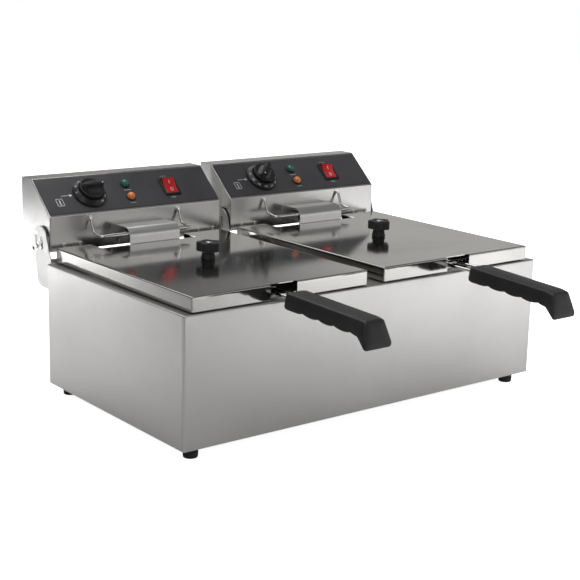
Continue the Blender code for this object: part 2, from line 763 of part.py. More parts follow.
def thermostat_dial(side, x, turn):
    """The dial: a conical skirt for the numerals, a drum and a raised grip bar."""
    name = f"thermostat_dial_{side}"
    base = GAP + LABEL_SHEET + DIAL_LIFT
    profile = [
        (DIAL_SKIRT_RADIUS, 0), (DIAL_SKIRT_RADIUS, 0.0012),
        (DIAL_TOP_RADIUS, DIAL_SKIRT_HEIGHT), (DIAL_TOP_RADIUS - 0.0008, DIAL_HEIGHT - 0.0008),
        (DIAL_TOP_RADIUS - 0.0018, DIAL_HEIGHT),
    ]
    spot = on_slant(x + DIAL_X, DIAL_S, base)
    angle = (SLANT_ANGLE, 0, 0)
    dial = put(name, turned(name, profile, 24), BLACK, spot, angle)
    half = DIAL_BAR_WIDTH / 2
    long = DIAL_TOP_RADIUS - 0.0012
    outline = round_rectangle((-long, -half), (long, half), half * 0.9, 3)
    spin = Matrix.Rotation(turn, 4, "Z")
    bar = prism_z("dial_bar", outline, DIAL_HEIGHT * 0.5, DIAL_HEIGHT + DIAL_BAR_HEIGHT)
    bar.transform(spin)
    join(dial, bar, spot, angle)
    reach = SHAFT_RADIUS + HOLE_CLEARANCE
    bore = turned("dial_bore", [(reach, -SHEET), (reach, DIAL_HEIGHT * 0.6 + GAP)], 16)
    cut(dial, bore, spot, angle)


def lamp(name, x, along, look):
    """A domed pilot lamp: lens outside, collar on the fascia, body behind it."""
    collar = GAP + LABEL_SHEET + GAP
    rise = LAMP_DOME
    profile = [
        (LAMP_RADIUS - 0.0008, -LAMP_BODY_LENGTH), (LAMP_RADIUS, -LAMP_BODY_LENGTH + 0.001),
        (LAMP_RADIUS, collar), (LAMP_BEZEL_RADIUS, collar), (LAMP_BEZEL_RADIUS, collar + 0.0010),
    ]
    for step in range(4):
        angle = math.radians(78 * step / 3)
        profile.append((LAMP_RADIUS * math.cos(angle), collar + 0.0012 + rise * math.sin(angle)))
    put(name, turned(name, profile, 12), look, on_slant(x + LAMP_X, along), SLANT_TURN)


def power_switch(side, x):
    """The switch body: a black frame on the fascia and a box behind it."""
    name = f"switch_body_{side}"
    base = GAP + LABEL_SHEET + GAP
    top = base + SWITCH_FRAME_HEIGHT
    outer = (SWITCH_WIDTH / 2, SWITCH_LENGTH / 2)
    inner = (outer[0] - SWITCH_FRAME, outer[1] - SWITCH_FRAME)
    rim = (inner[0] - 0.0006, inner[1] - 0.0006)

    def ring(half, z):
        return [(px, py, z) for px, py in round_rectangle((-half[0], -half[1]), half, 0.0008, 1)]

    rings = [
        ring(inner, -SWITCH_BODY_DEPTH), ring(inner, base), ring(outer, base),
        ring(outer, top - 0.0005), ring((outer[0] - 0.0006, outer[1] - 0.0006), top),
        ring(rim, top), ring(rim, -SWITCH_BODY_DEPTH * 0.5),
    ]
    put(name, loft(name, rings), BLACK, on_slant(x + SWITCH_X, SWITCH_S), SLANT_TURN)


def rocker(side, x):
    """The red rocker: a shallow V on its upper face, tipped to its off side."""
    name = f"rocker_{side}"
    play = 0.0007
    half_x = SWITCH_WIDTH / 2 - SWITCH_FRAME - 0.0006 - play
    half_y = SWITCH_LENGTH / 2 - SWITCH_FRAME - 0.0006 - play
    deep = 0.0062
    rise = ROCKER_RISE
    curve = 0.0016
    outline = [(-half_y * 0.88, -deep), (half_y * 0.88, -deep), (half_y, curve + rise)]
    outline += [(half_y * 0.5, rise + curve * 0.35), (0, rise), (-half_y * 0.5, rise + curve * 0.35)]
    outline += [(-half_y, curve + rise)]
    mesh = prism_x(name, outline, -half_x, half_x)
    mesh.transform(Matrix.Rotation(ROCKER_TILT, 4, "X"))
    pivot = on_slant(x + SWITCH_X, SWITCH_S, GAP + LABEL_SHEET + GAP)
    put(name, mesh, RED, pivot, SLANT_TURN)


# ---- Brackets and studs ----------------------------------------------------
def bracket_ear(x_low):
    """One upright ear of a bracket, in side view, with two slots for the studs."""
    centre = HEAD_FACE + (FRONT_STUD_BACK + REAR_STUD_BACK) / 2 - BRACKET_EAR_SHIFT
    wall = CASING_DEPTH + GAP
    bottom = DECK - BRACKET_DROP
    foot = (CASING_DEPTH + BRACKET_FOOT_REACH, bottom + BRACKET_FOOT_RADIUS)
    outline = [(wall, bottom)]
    outline += arc(foot, BRACKET_FOOT_RADIUS, -90, -10, 4)
    outline += arc((centre, DECK + BRACKET_RISE - BRACKET_EAR_RADIUS), BRACKET_EAR_RADIUS, -8, 168, 10)
    outline += [(CASING_DEPTH + BRACKET_NECK_REACH, DECK + BRACKET_NECK_RISE)]
    outline += [(wall, DECK + BRACKET_PLATE_RISE)]
    return prism_x("ear", outline, x_low, x_low + SHEET)


def slot_cutters(x_low):
    """The two upright slots; the rear one opens to the back at its top."""
    reach = STUD_RADIUS + SLOT_CLEARANCE
    seat = HEAD_BOTTOM + STUD_HEIGHT
    low = x_low - SHEET
    high = x_low + 2 * SHEET
    front = HEAD_FACE + FRONT_STUD_BACK
    rear = HEAD_FACE + REAR_STUD_BACK
    front_top = seat + HEAD_TRAVEL + GAP
    rear_top = front_top + REAR_SLOT_EXTRA
    straight = arc((front, seat), reach, -180, 0, 6) + arc((front, front_top), reach, 0, 180, 6)
    bent = arc((rear, seat), reach, -180, 0, 6)
    outside = rear + 2 * BRACKET_EAR_RADIUS
    bent += [(rear + reach, rear_top - reach), (outside, rear_top - reach)]
    bent += [(outside, rear_top + reach), (rear - reach, rear_top + reach)]
    return prism_x("slot", straight, low, high), prism_x("slot", bent, low, high)


def head_bracket(side, x):
    """A folded bracket on the casing's back: one plate and two slotted ears."""
    name = f"head_bracket_{side}"
    half = HEAD_WIDTH / 2 + BRACKET_SIDE_GAP
    wall = CASING_DEPTH + GAP
    low = (x - half + SHEET / 4, wall, DECK - BRACKET_DROP + BRACKET_PLATE_LIFT)
    high = (x + half - SHEET / 4, wall + SHEET, DECK + BRACKET_PLATE_RISE)
    plate = put(name, box(name, low, high), STEEL)
    for x_low in (x - half, x + half - SHEET):
        join(plate, bracket_ear(x_low))
        for cutter in slot_cutters(x_low):
            cut(plate, cutter)


def head_studs(side, end, x, way):
    """A strip inside the housing's side with two studs through it, resting in the slots."""
    name = f"head_studs_{side}_{end}"
    wall = x + way * (HEAD_WIDTH / 2 - SHEET - GAP)
    tip = x + way * (HEAD_WIDTH / 2 + BRACKET_SIDE_GAP + STUD_PROUD)
    low_x, high_x = sorted((wall, wall - way * STUD_PLATE))
    margin = 0.008
    strip_top = 0.014
    low = (low_x, HEAD_FACE + FRONT_STUD_BACK - margin, HEAD_BOTTOM + SHEET + GAP)
    high = (high_x, HEAD_FACE + REAR_STUD_BACK + margin, HEAD_BOTTOM + strip_top)
    strip = put(name, box(name, low, high), STEEL)
    length = abs(tip - wall) + STUD_PLATE / 2
    for back in (FRONT_STUD_BACK, REAR_STUD_BACK):
        stud = turned("stud", [(STUD_RADIUS, 0), (STUD_RADIUS, length)], 12)
        spot = (wall - way * STUD_PLATE / 2, HEAD_FACE + back, HEAD_BOTTOM + STUD_HEIGHT)
        join(strip, stud, spot, (0, math.radians(90) * way, 0))


# ---- Element, guard, hook and sensor ---------------------------------------
def heating_element(side, x):
    """One bent tube: out of the head, down the rear wall, looped over the pot's floor."""
    centre = x + GUARD_OFFSET
    entry = HEAD_BOTTOM + ELEMENT_ENTRY_LIFT
    floor = ELEMENT_Z
    inside = HEAD_FACE + ELEMENT_TAIL
    leg = ELEMENT_LEG_SPREAD
    wide = POT_WIDTH / 2 - ELEMENT_SIDE_GAP
    front = POT_FRONT + ELEMENT_FRONT_GAP
    middle = POT_REAR - ELEMENT_RETURN_GAP
    rear = POT_REAR - ELEMENT_REAR_GAP
    half_loop = [
        (leg, inside, entry), (leg, ELEMENT_LEG_Y, entry), (leg, ELEMENT_LEG_Y, floor),
        (leg, rear, floor), (wide, rear, floor), (wide, front, floor), (leg * 1.6, front, floor),
        (leg * 1.6, middle, floor),
    ]
    corners = [(centre - px, y, z) for px, y, z in half_loop]
    corners += [(centre + px, y, z) for px, y, z in reversed(half_loop)]
    name = f"heating_element_{side}"
    put(name, rod(name, rounded_path(corners, ELEMENT_BEND, 2), ELEMENT_ROD), DARK_STEEL)


def element_guard(side, x):
    """The bent cover over the element's legs: rear flange, top, round nose, front."""
    name = f"element_guard_{side}"
    centre = x + GUARD_OFFSET
    top = LID_TOP + GUARD_TOP_LIFT
    back = HEAD_FACE - GAP
    sheet = GUARD_SHEET
    nose = (GUARD_FRONT + GUARD_ROUND, top - GUARD_ROUND)
    bottom = DECK - GUARD_DROP
    entry = HEAD_BOTTOM + ELEMENT_ENTRY_LIFT
    reach = ELEMENT_ROD + HOLE_CLEARANCE
    flange = entry - reach - GUARD_HOLE_EDGE
    outline = arc(nose, GUARD_ROUND, 180, 90, 5) + [(back, top), (back, flange)]
    outline += [(back - sheet, flange), (back - sheet, top - sheet)]
    outline += arc(nose, GUARD_ROUND - sheet, 90, 180, 5)
    outline += [(GUARD_FRONT + sheet, bottom), (GUARD_FRONT, bottom)]
    half = GUARD_WIDTH / 2
    cover = put(name, prism_x(name, outline, centre - half, centre + half), POLISHED)
    tab = box(
        "guard_tab",
        (centre - half - GUARD_TAB, back - sheet, flange + sheet / 5),
        (centre - half + sheet, back, top - sheet / 2),
    )
    join(cover, tab)
    for dx in (-ELEMENT_LEG_SPREAD, ELEMENT_LEG_SPREAD, 0.0):
        bore = turned("guard_hole", [(reach, -2 * sheet), (reach, 2 * sheet)], 12)
        cut(cover, bore, (centre + dx, back, entry), (math.radians(90), 0, 0))


def basket_hook(side, x):
    """The bent rod on which a lifted basket hangs to drain."""
    half = HOOK_WIDTH / 2
    centre = x + HOOK_OFFSET
    root = HEAD_BOTTOM + HOOK_ROOT_LIFT
    knee = HEAD_BOTTOM + HOOK_KNEE_LIFT
    bar = HEAD_BOTTOM + HOOK_BAR_LIFT
    leg = [
        (half, HEAD_FACE + 0.003, root), (half, HEAD_FACE - 0.0035, root),
        (half, HEAD_FACE - HOOK_KNEE_FORWARD, knee), (half, HOOK_BAR_Y, bar),
    ]
    corners = [(centre - px, y, z) for px, y, z in leg]
    corners += [(centre + px, y, z) for px, y, z in reversed(leg)]
    name = f"basket_hook_{side}"
    put(name, rod(name, rounded_path(corners, 0.003, 2), HOOK_ROD), CHROME)


def sensor_bulb(side, x):
    """The thermostat's bulb and capillary, clipped behind the basket."""
    centre = x + GUARD_OFFSET
    entry = HEAD_BOTTOM + ELEMENT_ENTRY_LIFT
    name = f"sensor_bulb_{side}"
    path = rounded_path(
        [
            (centre, HEAD_FACE + BULB_TAIL, entry), (centre, ELEMENT_LEG_Y, entry),
            (centre, ELEMENT_LEG_Y, POT_FLOOR + BULB_FLOOR_GAP),
        ],
        0.008,
        3,
    )
    put(name, rod(name, path, BULB_RADIUS), CHROME)


# ---- Small fittings --------------------------------------------------------
def reset_button(side, x):
    """The high-limit reset: a stepped plunger through the rear cover."""
    name = f"reset_button_{side}"
    collar = RESET_RADIUS * 1.6
    top = SHEET + RESET_PROUD
    edge = 0.0008
    profile = [
        (collar, -GAP - 0.0015), (collar, -GAP), (RESET_RADIUS, -GAP),
        (RESET_RADIUS, top - edge), (RESET_RADIUS - edge, top),
    ]
    spot = (x + RESET_X, HEAD_BACK - BACK_COVER_INSET - SHEET, HEAD_BOTTOM + RESET_LIFT)
    put(name, turned(name, profile, 12), RED, spot, (math.radians(-90), 0, 0))


def terminal_block(side, x):
    """The ceramic terminal block inside the head, with a channel down its middle."""
    name = f"terminal_block_{side}"
    half = (TERMINAL_WIDTH / 2, TERMINAL_DEPTH / 2)
    groove = TERMINAL_GROOVE / 2
    spot = (x + TERMINAL_X, HEAD_BACK - TERMINAL_INSET, HEAD_BOTTOM + SHEET + GAP)
    block = put(name, box(name, (-half[0], -half[1], 0), (*half, TERMINAL_HEIGHT)), CERAMIC, spot)
    channel = box(
        "channel",
        (-TERMINAL_WIDTH, -groove, TERMINAL_HEIGHT - TERMINAL_GROOVE_DEPTH),
        (TERMINAL_WIDTH, groove, 2 * TERMINAL_HEIGHT),
    )
    cut(block, channel, spot)


def gland_spot(x):
    """Where the supply cord's gland sits in a head's floor."""
    return (x - HEAD_WIDTH / 2 + GLAND_INSET_SIDE, HEAD_BACK - GLAND_INSET_REAR, HEAD_BOTTOM)


def cable_gland(side, x):
    """The cord inlet: a flanged bush under the head's floor, bored through."""
    name = f"cable_gland_{side}"
    neck = GLAND_BORE + GLAND_WALL
    profile = [
        (GLAND_BORE, -GLAND_DROP), (GLAND_RADIUS - 0.0015, -GLAND_DROP),
        (GLAND_RADIUS, -GLAND_DROP * 0.4), (GLAND_RADIUS, -GAP), (neck, -GAP),
        (neck, SHEET + GAP), (GLAND_RADIUS * 0.9, SHEET + GAP), (GLAND_RADIUS * 0.9, SHEET + GLAND_WALL),
        (GLAND_BORE, SHEET + GLAND_WALL),
    ]
    sides = 12
    bm = bmesh.new()
    rows = []
    for radius, z in profile:
        angles = [2 * math.pi * i / sides for i in range(sides)]
        rows.append([bm.verts.new((radius * math.cos(a), radius * math.sin(a), z)) for a in angles])
    for low, high in zip(rows, rows[1:] + rows[:1]):
        for i in range(sides):
            j = (i + 1) % sides
            bm.faces.new((low[i], low[j], high[j], high[i]))
    put(name, mesh_from(name, bm), BLACK, gland_spot(x))


# ---- Assembly --------------------------------------------------------------
for old in list(bpy.data.objects):
    bpy.data.objects.remove(old)

FRYER = bpy.data.objects.new("fryer", None)
bpy.context.collection.objects.link(FRYER)
FRYER.location = (0, -MIDDLE_Y, 0)

casing()
base_plate()
feet()
for hand, head_x, lid_x, forward, sag, dial_turn in (
    ("left", -HALF_PITCH, -LID_CENTRE, 0.0, 0.0, LEFT_DIAL_TURN),
    ("right", HALF_PITCH, LID_CENTRE, RIGHT_BASKET_FORWARD, RIGHT_GRIP_SAG, RIGHT_DIAL_TURN),
):
    oil_pot(hand, head_x)
    lid(hand, lid_x)
    lid_knob(hand, lid_x)
    basket(hand, head_x, forward)
    stirrup(hand, head_x, forward)
    grip(hand, head_x, forward, sag)
    head_housing(hand, head_x)
    head_back(hand, head_x)
    label_panel(hand, head_x)
    thermostat(hand, head_x)
    thermostat_dial(hand, head_x, dial_turn)
    lamp(f"lamp_green_{hand}", head_x, GREEN_LAMP_S, GREEN)
    lamp(f"lamp_amber_{hand}", head_x, AMBER_LAMP_S, AMBER)
    power_switch(hand, head_x)
    rocker(hand, head_x)
    head_bracket(hand, head_x)
    head_studs(hand, "outer" if hand == "left" else "inner", head_x, -1)
    head_studs(hand, "inner" if hand == "left" else "outer", head_x, 1)
    heating_element(hand, head_x)
    element_guard(hand, head_x)
    basket_hook(hand, head_x)
    sensor_bulb(hand, head_x)
    reset_button(hand, head_x)
    terminal_block(hand, head_x)
    cable_gland(hand, head_x)
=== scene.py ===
"""A twin-tank countertop deep fryer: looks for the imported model, piece by piece."""
import math

import bmesh
import bpy
import numpy as np
from mathutils import Matrix, Vector


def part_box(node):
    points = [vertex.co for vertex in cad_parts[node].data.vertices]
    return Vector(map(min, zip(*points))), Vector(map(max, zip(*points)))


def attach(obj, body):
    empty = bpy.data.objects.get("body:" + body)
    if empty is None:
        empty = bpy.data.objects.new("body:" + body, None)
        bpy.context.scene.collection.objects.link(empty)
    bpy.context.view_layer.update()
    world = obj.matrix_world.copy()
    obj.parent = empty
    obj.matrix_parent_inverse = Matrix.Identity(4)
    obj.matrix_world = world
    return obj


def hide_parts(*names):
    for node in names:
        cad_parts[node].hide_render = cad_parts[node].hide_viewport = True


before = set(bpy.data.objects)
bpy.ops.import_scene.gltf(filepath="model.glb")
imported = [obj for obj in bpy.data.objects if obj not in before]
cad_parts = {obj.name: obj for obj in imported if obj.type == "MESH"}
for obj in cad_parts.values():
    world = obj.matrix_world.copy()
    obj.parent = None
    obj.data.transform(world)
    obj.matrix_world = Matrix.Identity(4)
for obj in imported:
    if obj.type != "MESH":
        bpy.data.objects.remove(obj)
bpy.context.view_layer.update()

scene = bpy.context.scene

# ---- Studio ------------------------------------------------------------------
# A pale floor under a backdrop that brightens low on the right, so that the steel
# has something to mirror; soft boxes above and in front, and low ones that light
# only the patches of floor that the steel panels mirror.
EYE_FROM_CORNER = Vector((-0.7636, -1.1505, 0.518))
YAW, PITCH, ROLL = (math.radians(a) for a in (38.29, 13.45, 1.377))
LENS = 81.63
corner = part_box("casing")[0]
forward = Vector((
    math.sin(YAW) * math.cos(PITCH), math.cos(YAW) * math.cos(PITCH), -math.sin(PITCH)
))
level = Vector((math.cos(YAW), -math.sin(YAW), 0))
upright = level.cross(forward)
across = level * math.cos(ROLL) + upright * math.sin(ROLL)
above = upright * math.cos(ROLL) - level * math.sin(ROLL)
camera = bpy.data.objects.new("camera", bpy.data.cameras.new("camera"))
camera.data.lens = LENS
camera.data.sensor_width = 36
camera.matrix_world = Matrix.Translation(corner + EYE_FROM_CORNER) @ Matrix(
    (across, above, -forward)
).transposed().to_4x4()
scene.collection.objects.link(camera)
scene.camera = camera
scene.view_settings.view_transform = "Standard"

FLOOR_REACH = 6.0
FLOOR_GLOW = 0.93
floor_mesh = bpy.data.meshes.new("floor")
floor_mesh.from_pydata(
    [(x * FLOOR_REACH, y * FLOOR_REACH, 0) for x, y in ((-1, -1), (1, -1), (1, 1), (-1, 1))],
    [],
    [(0, 1, 2, 3)],
)
floor = bpy.data.objects.new("floor", floor_mesh)
scene.collection.objects.link(floor)
pale = bpy.data.materials.new("pale_floor")
pale.use_nodes = True
tree = pale.node_tree
lit = tree.nodes["Principled BSDF"]
lit.inputs["Base Color"].default_value = (0.75, 0.75, 0.75, 1)
lit.inputs["Roughness"].default_value = 0.9
lit.inputs["Specular IOR Level"].default_value = 0.0
lit.inputs["Emission Color"].default_value = (1, 1, 1, 1)
lit.inputs["Emission Strength"].default_value = FLOOR_GLOW
mirrored = tree.nodes.new("ShaderNodeBsdfDiffuse")
mirrored.inputs["Color"].default_value = (0.50, 0.50, 0.50, 1)
straight = tree.nodes.new("ShaderNodeLightPath")
either = tree.nodes.new("ShaderNodeMixShader")
tree.links.new(straight.outputs["Is Camera Ray"], either.inputs["Fac"])
tree.links.new(mirrored.outputs["BSDF"], either.inputs[1])
tree.links.new(lit.outputs["BSDF"], either.inputs[2])
tree.links.new(either.outputs["Shader"], tree.nodes["Material Output"].inputs["Surface"])
floor_mesh.materials.append(pale)

world = bpy.data.worlds.new("studio")
world.use_nodes = True
scene.world = world
tree = world.node_tree
backdrop = tree.nodes["Background"]
white = tree.nodes.new("ShaderNodeBackground")
white.inputs["Color"].default_value = (1, 1, 1, 1)
white.inputs["Strength"].default_value = 1.0
sky = tree.nodes.new("ShaderNodeTexCoord")
bright_way = tree.nodes.new("ShaderNodeVectorMath")
bright_way.operation = "DOT_PRODUCT"
bright_way.inputs[1].default_value = Vector((0.483, 0.129, -0.866))
fade = tree.nodes.new("ShaderNodeMapRange")
fade.interpolation_type = "SMOOTHSTEP"
fade.inputs["From Min"].default_value = 0.165
fade.inputs["From Max"].default_value = 0.235
fade.inputs["To Min"].default_value = 0.17
fade.inputs["To Max"].default_value = 0.50
choose = tree.nodes.new("ShaderNodeMixShader")
ray = tree.nodes.new("ShaderNodeLightPath")
tree.links.new(sky.outputs["Generated"], bright_way.inputs[0])
tree.links.new(bright_way.outputs["Value"], fade.inputs["Value"])
tree.links.new(fade.outputs["Result"], backdrop.inputs["Strength"])
backdrop.inputs["Color"].default_value = (1.0, 0.99, 0.97, 1)
tree.links.new(ray.outputs["Is Camera Ray"], choose.inputs["Fac"])
tree.links.new(backdrop.outputs["Background"], choose.inputs[1])
tree.links.new(white.outputs["Background"], choose.inputs[2])
tree.links.new(choose.outputs["Shader"], tree.nodes["World Output"].inputs["Surface"])


def soft_box(name, place, size, power, aim=(0, 0, 0.12), spread=180, mirrored=True):
    """A rectangular area light that looks at a point, unseen by the camera itself. One
    that isn't mirrored lights surfaces without showing as a bright square in the steel."""
    light = bpy.data.lights.new(name, "AREA")
    light.shape = "RECTANGLE"
    light.size, light.size_y = size
    light.energy = power
    light.spread = math.radians(spread)
    lamp = bpy.data.objects.new(name, light)
    lamp.location = place
    lamp.rotation_euler = (Vector(aim) - Vector(place)).to_track_quat("-Z", "Y").to_euler()
    lamp.visible_camera = False
    lamp.visible_glossy = mirrored
    scene.collection.objects.link(lamp)


soft_box("overhead", (-0.45, -0.2, 2.0), (1.8, 1.8), 15)
soft_box("overhead_back", (0.2, 1.5, 1.9), (1.8, 1.2), 9)
POOL_HEIGHT = 0.40
POOL_SIZE = (0.36, 0.36)
POOL_SPREAD = 100
POOLS_BACK = ((-0.36, 0.38, 0.4), (-0.50, 0.82, 0.8), (-0.66, 1.18, 3.0))
for number, (x, y, power) in enumerate(POOLS_BACK):
    soft_box(
        f"pool_back_{number}", (x, y, POOL_HEIGHT), POOL_SIZE, power, (x, y, 0), POOL_SPREAD,
        mirrored=False,
    )
soft_box(
    "pool_front_right", (0.84, -0.90, 0.75), (1.5, 0.8), 14, (0.82, -0.88, 0), 125, mirrored=False
)
soft_box("pool_rear", (0.15, 1.5, 0.80), (1.6, 0.8), 11, (0.15, 1.3, 0), mirrored=False)
soft_box("pool_right", (1.35, 0.25, 0.80), (0.8, 1.2), 9, (1.2, 0.25, 0), mirrored=False)
soft_box("front_card", (2.0, -2.3, 0.75), (2.2, 1.1), 4.5, (0, 0, 0.2))
soft_box("front_left", (-1.6, -1.4, 1.3), (0.9, 0.9), 3)

# ---- Feet --------------------------------------------------------------------
# Four tapered rubber feet, moulded with a sunk screw seat and screwed up into
# the bottom pan from below.
SIDES = 32
WELD = 2e-6
CREASE = 32
FOOT_TAPER = 0.9
FOOT_EDGE = 0.0012
FOOT_GROOVE = 0.0012
SEAT_SHARE = 0.45
SEAT_DEPTH = 0.003
SEAT_EDGE = 0.0004
FOOT_TOP_EDGE = 0.0006


def grid_shape(grid, ring=True, loop=False, caps=False):
    """Points of a (rows, columns, 3) grid and its quads; ring closes the columns,
    loop closes the rows, caps fill the first and the last row."""
    rows, columns = grid.shape[:2]
    index = np.arange(rows * columns).reshape(rows, columns)
    wide = np.concatenate([index, index[:, :1]], axis=1) if ring else index
    tall = np.concatenate([wide, wide[:1]], axis=0) if loop else wide
    quads = np.stack([tall[:-1, :-1], tall[:-1, 1:], tall[1:, 1:], tall[1:, :-1]], axis=-1)
    faces = quads.reshape(-1, 4).tolist()
    if caps:
        faces += [index[0, ::-1].tolist(), index[-1].tolist()]
    return grid.reshape(-1, 3), faces


def moved(shape, matrix):
    """The same shape carried by a 4 x 4 matrix: each point is turned, then shifted."""
    points, faces = shape
    turn = np.array(matrix)
    return points @ turn[:3, :3].T + turn[:3, 3], faces


def mesh_of(name, *shapes, crease=CREASE):
    """One mesh from several shapes: doubles merged, faces out, smooth up to the crease."""
    mesh = bpy.data.meshes.new(name)
    points = np.concatenate([shape[0] for shape in shapes])
    start = np.cumsum([0] + [len(shape[0]) for shape in shapes])
    faces = [
        [vertex + first for vertex in face]
        for first, shape in zip(start.tolist(), shapes) for face in shape[1]
    ]
    mesh.from_pydata(points.tolist(), [], faces)
    clean(mesh, crease)
    return mesh


def clean(mesh, crease):
    """Merges doubles, drops empty faces, turns faces outwards and marks sharp edges."""
    skin = bmesh.new()
    skin.from_mesh(mesh)
    bmesh.ops.remove_doubles(skin, verts=skin.verts, dist=WELD)
    bmesh.ops.dissolve_degenerate(skin, edges=skin.edges, dist=WELD / 2)
    bmesh.ops.recalc_face_normals(skin, faces=skin.faces)
    skin.to_mesh(mesh)
    skin.free()
    mesh.shade_smooth()
    mesh.set_sharp_from_angle(angle=math.radians(crease))


def arc(centre, radius, start, end, steps=6):
    """Points (u, v) on a circle's arc: centre plus radius times cosine and sine."""
    angle = np.radians(np.linspace(start, end, steps + 1))
    return np.stack([centre[0] + radius * np.cos(angle), centre[1] + radius * np.sin(angle)], axis=-1)


def turned(profile, sides=SIDES, lobes=0, depth=0.0):
    """A turned piece: each (radius, height) goes round Z; lobes swell the radius by
    depth times the cosine of that many times the angle, where the radius allows."""
    profile = np.asarray(profile, float)
    angle = np.linspace(0, 2 * np.pi, sides, endpoint=False)
    swell = depth * np.cos(lobes * angle)[None, :] * (profile[:, :1] > 4 * depth) if lobes else 0.0
    radius = profile[:, :1] + swell * np.ones((1, sides))
    height = profile[:, 1:] * np.ones((1, sides))
    return grid_shape(np.stack([radius * np.cos(angle), radius * np.sin(angle), height], axis=-1))


def piece(name, mesh, material, body, slot, *nodes):
    """Puts a finished mesh in the scene on its body and hides the nodes it stands for."""
    obj = bpy.data.objects.new(name, mesh)
    scene.collection.objects.link(obj)
    if material is not None:
        mesh.materials.clear()
        mesh.materials.append(material)
    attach(obj, body)
    if nodes:
        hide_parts(*nodes)
    return obj


def group(name, inputs, outputs):
    """An empty shader node group with its named float or vector sockets."""
    made = bpy.data.node_groups.new(name, "ShaderNodeTree")
    for label, kind, value in inputs:
        socket = made.interface.new_socket(label, in_out="INPUT", socket_type=f"NodeSocket{kind}")
        if value is not None:
            socket.default_value = value
    for label in outputs:
        made.interface.new_socket(label, in_out="OUTPUT", socket_type="NodeSocketFloat")
    return made, made.nodes.new("NodeGroupInput"), made.nodes.new("NodeGroupOutput")


# Grain: noise read through a stretched space, so that it runs in fine lines.
grain_group, given, result = group(
    "grain", [("Vector", "Vector", None), ("Stretch", "Vector", (10, 10, 900))], ["Grain"]
)
stretch = grain_group.nodes.new("ShaderNodeVectorMath")
stretch.operation = "MULTIPLY"
speck = grain_group.nodes.new("ShaderNodeTexNoise")
speck.inputs["Scale"].default_value = 1.0
speck.inputs["Detail"].default_value = 3.0
speck.inputs["Roughness"].default_value = 0.65
grain_group.links.new(given.outputs["Vector"], stretch.inputs[0])
grain_group.links.new(given.outputs["Stretch"], stretch.inputs[1])
grain_group.links.new(stretch.outputs["Vector"], speck.inputs["Vector"])
grain_group.links.new(speck.outputs["Fac"], result.inputs["Grain"])

# Smudge: soft blotches from wiping and handling, sharpened into patches.
smudge_group, given, result = group(
    "smudge", [("Vector", "Vector", None), ("Size", "Float", 12.0), ("Cover", "Float", 0.5)], ["Smudge"]
)
cloud = smudge_group.nodes.new("ShaderNodeTexNoise")
cloud.inputs["Detail"].default_value = 5.0
cloud.inputs["Roughness"].default_value = 0.6
cloud.inputs["Distortion"].default_value = 0.4
limit = smudge_group.nodes.new("ShaderNodeMapRange")
limit.inputs["From Max"].default_value = 0.75
lower = smudge_group.nodes.new("ShaderNodeMath")
lower.operation = "SUBTRACT"
lower.inputs[0].default_value = 0.9
smudge_group.links.new(given.outputs["Vector"], cloud.inputs["Vector"])
smudge_group.links.new(given.outputs["Size"], cloud.inputs["Scale"])
smudge_group.links.new(given.outputs["Cover"], lower.inputs[1])
smudge_group.links.new(lower.outputs["Value"], limit.inputs["From Min"])
smudge_group.links.new(cloud.outputs["Fac"], limit.inputs["Value"])
smudge_group.links.new(limit.outputs["Result"], result.inputs["Smudge"])


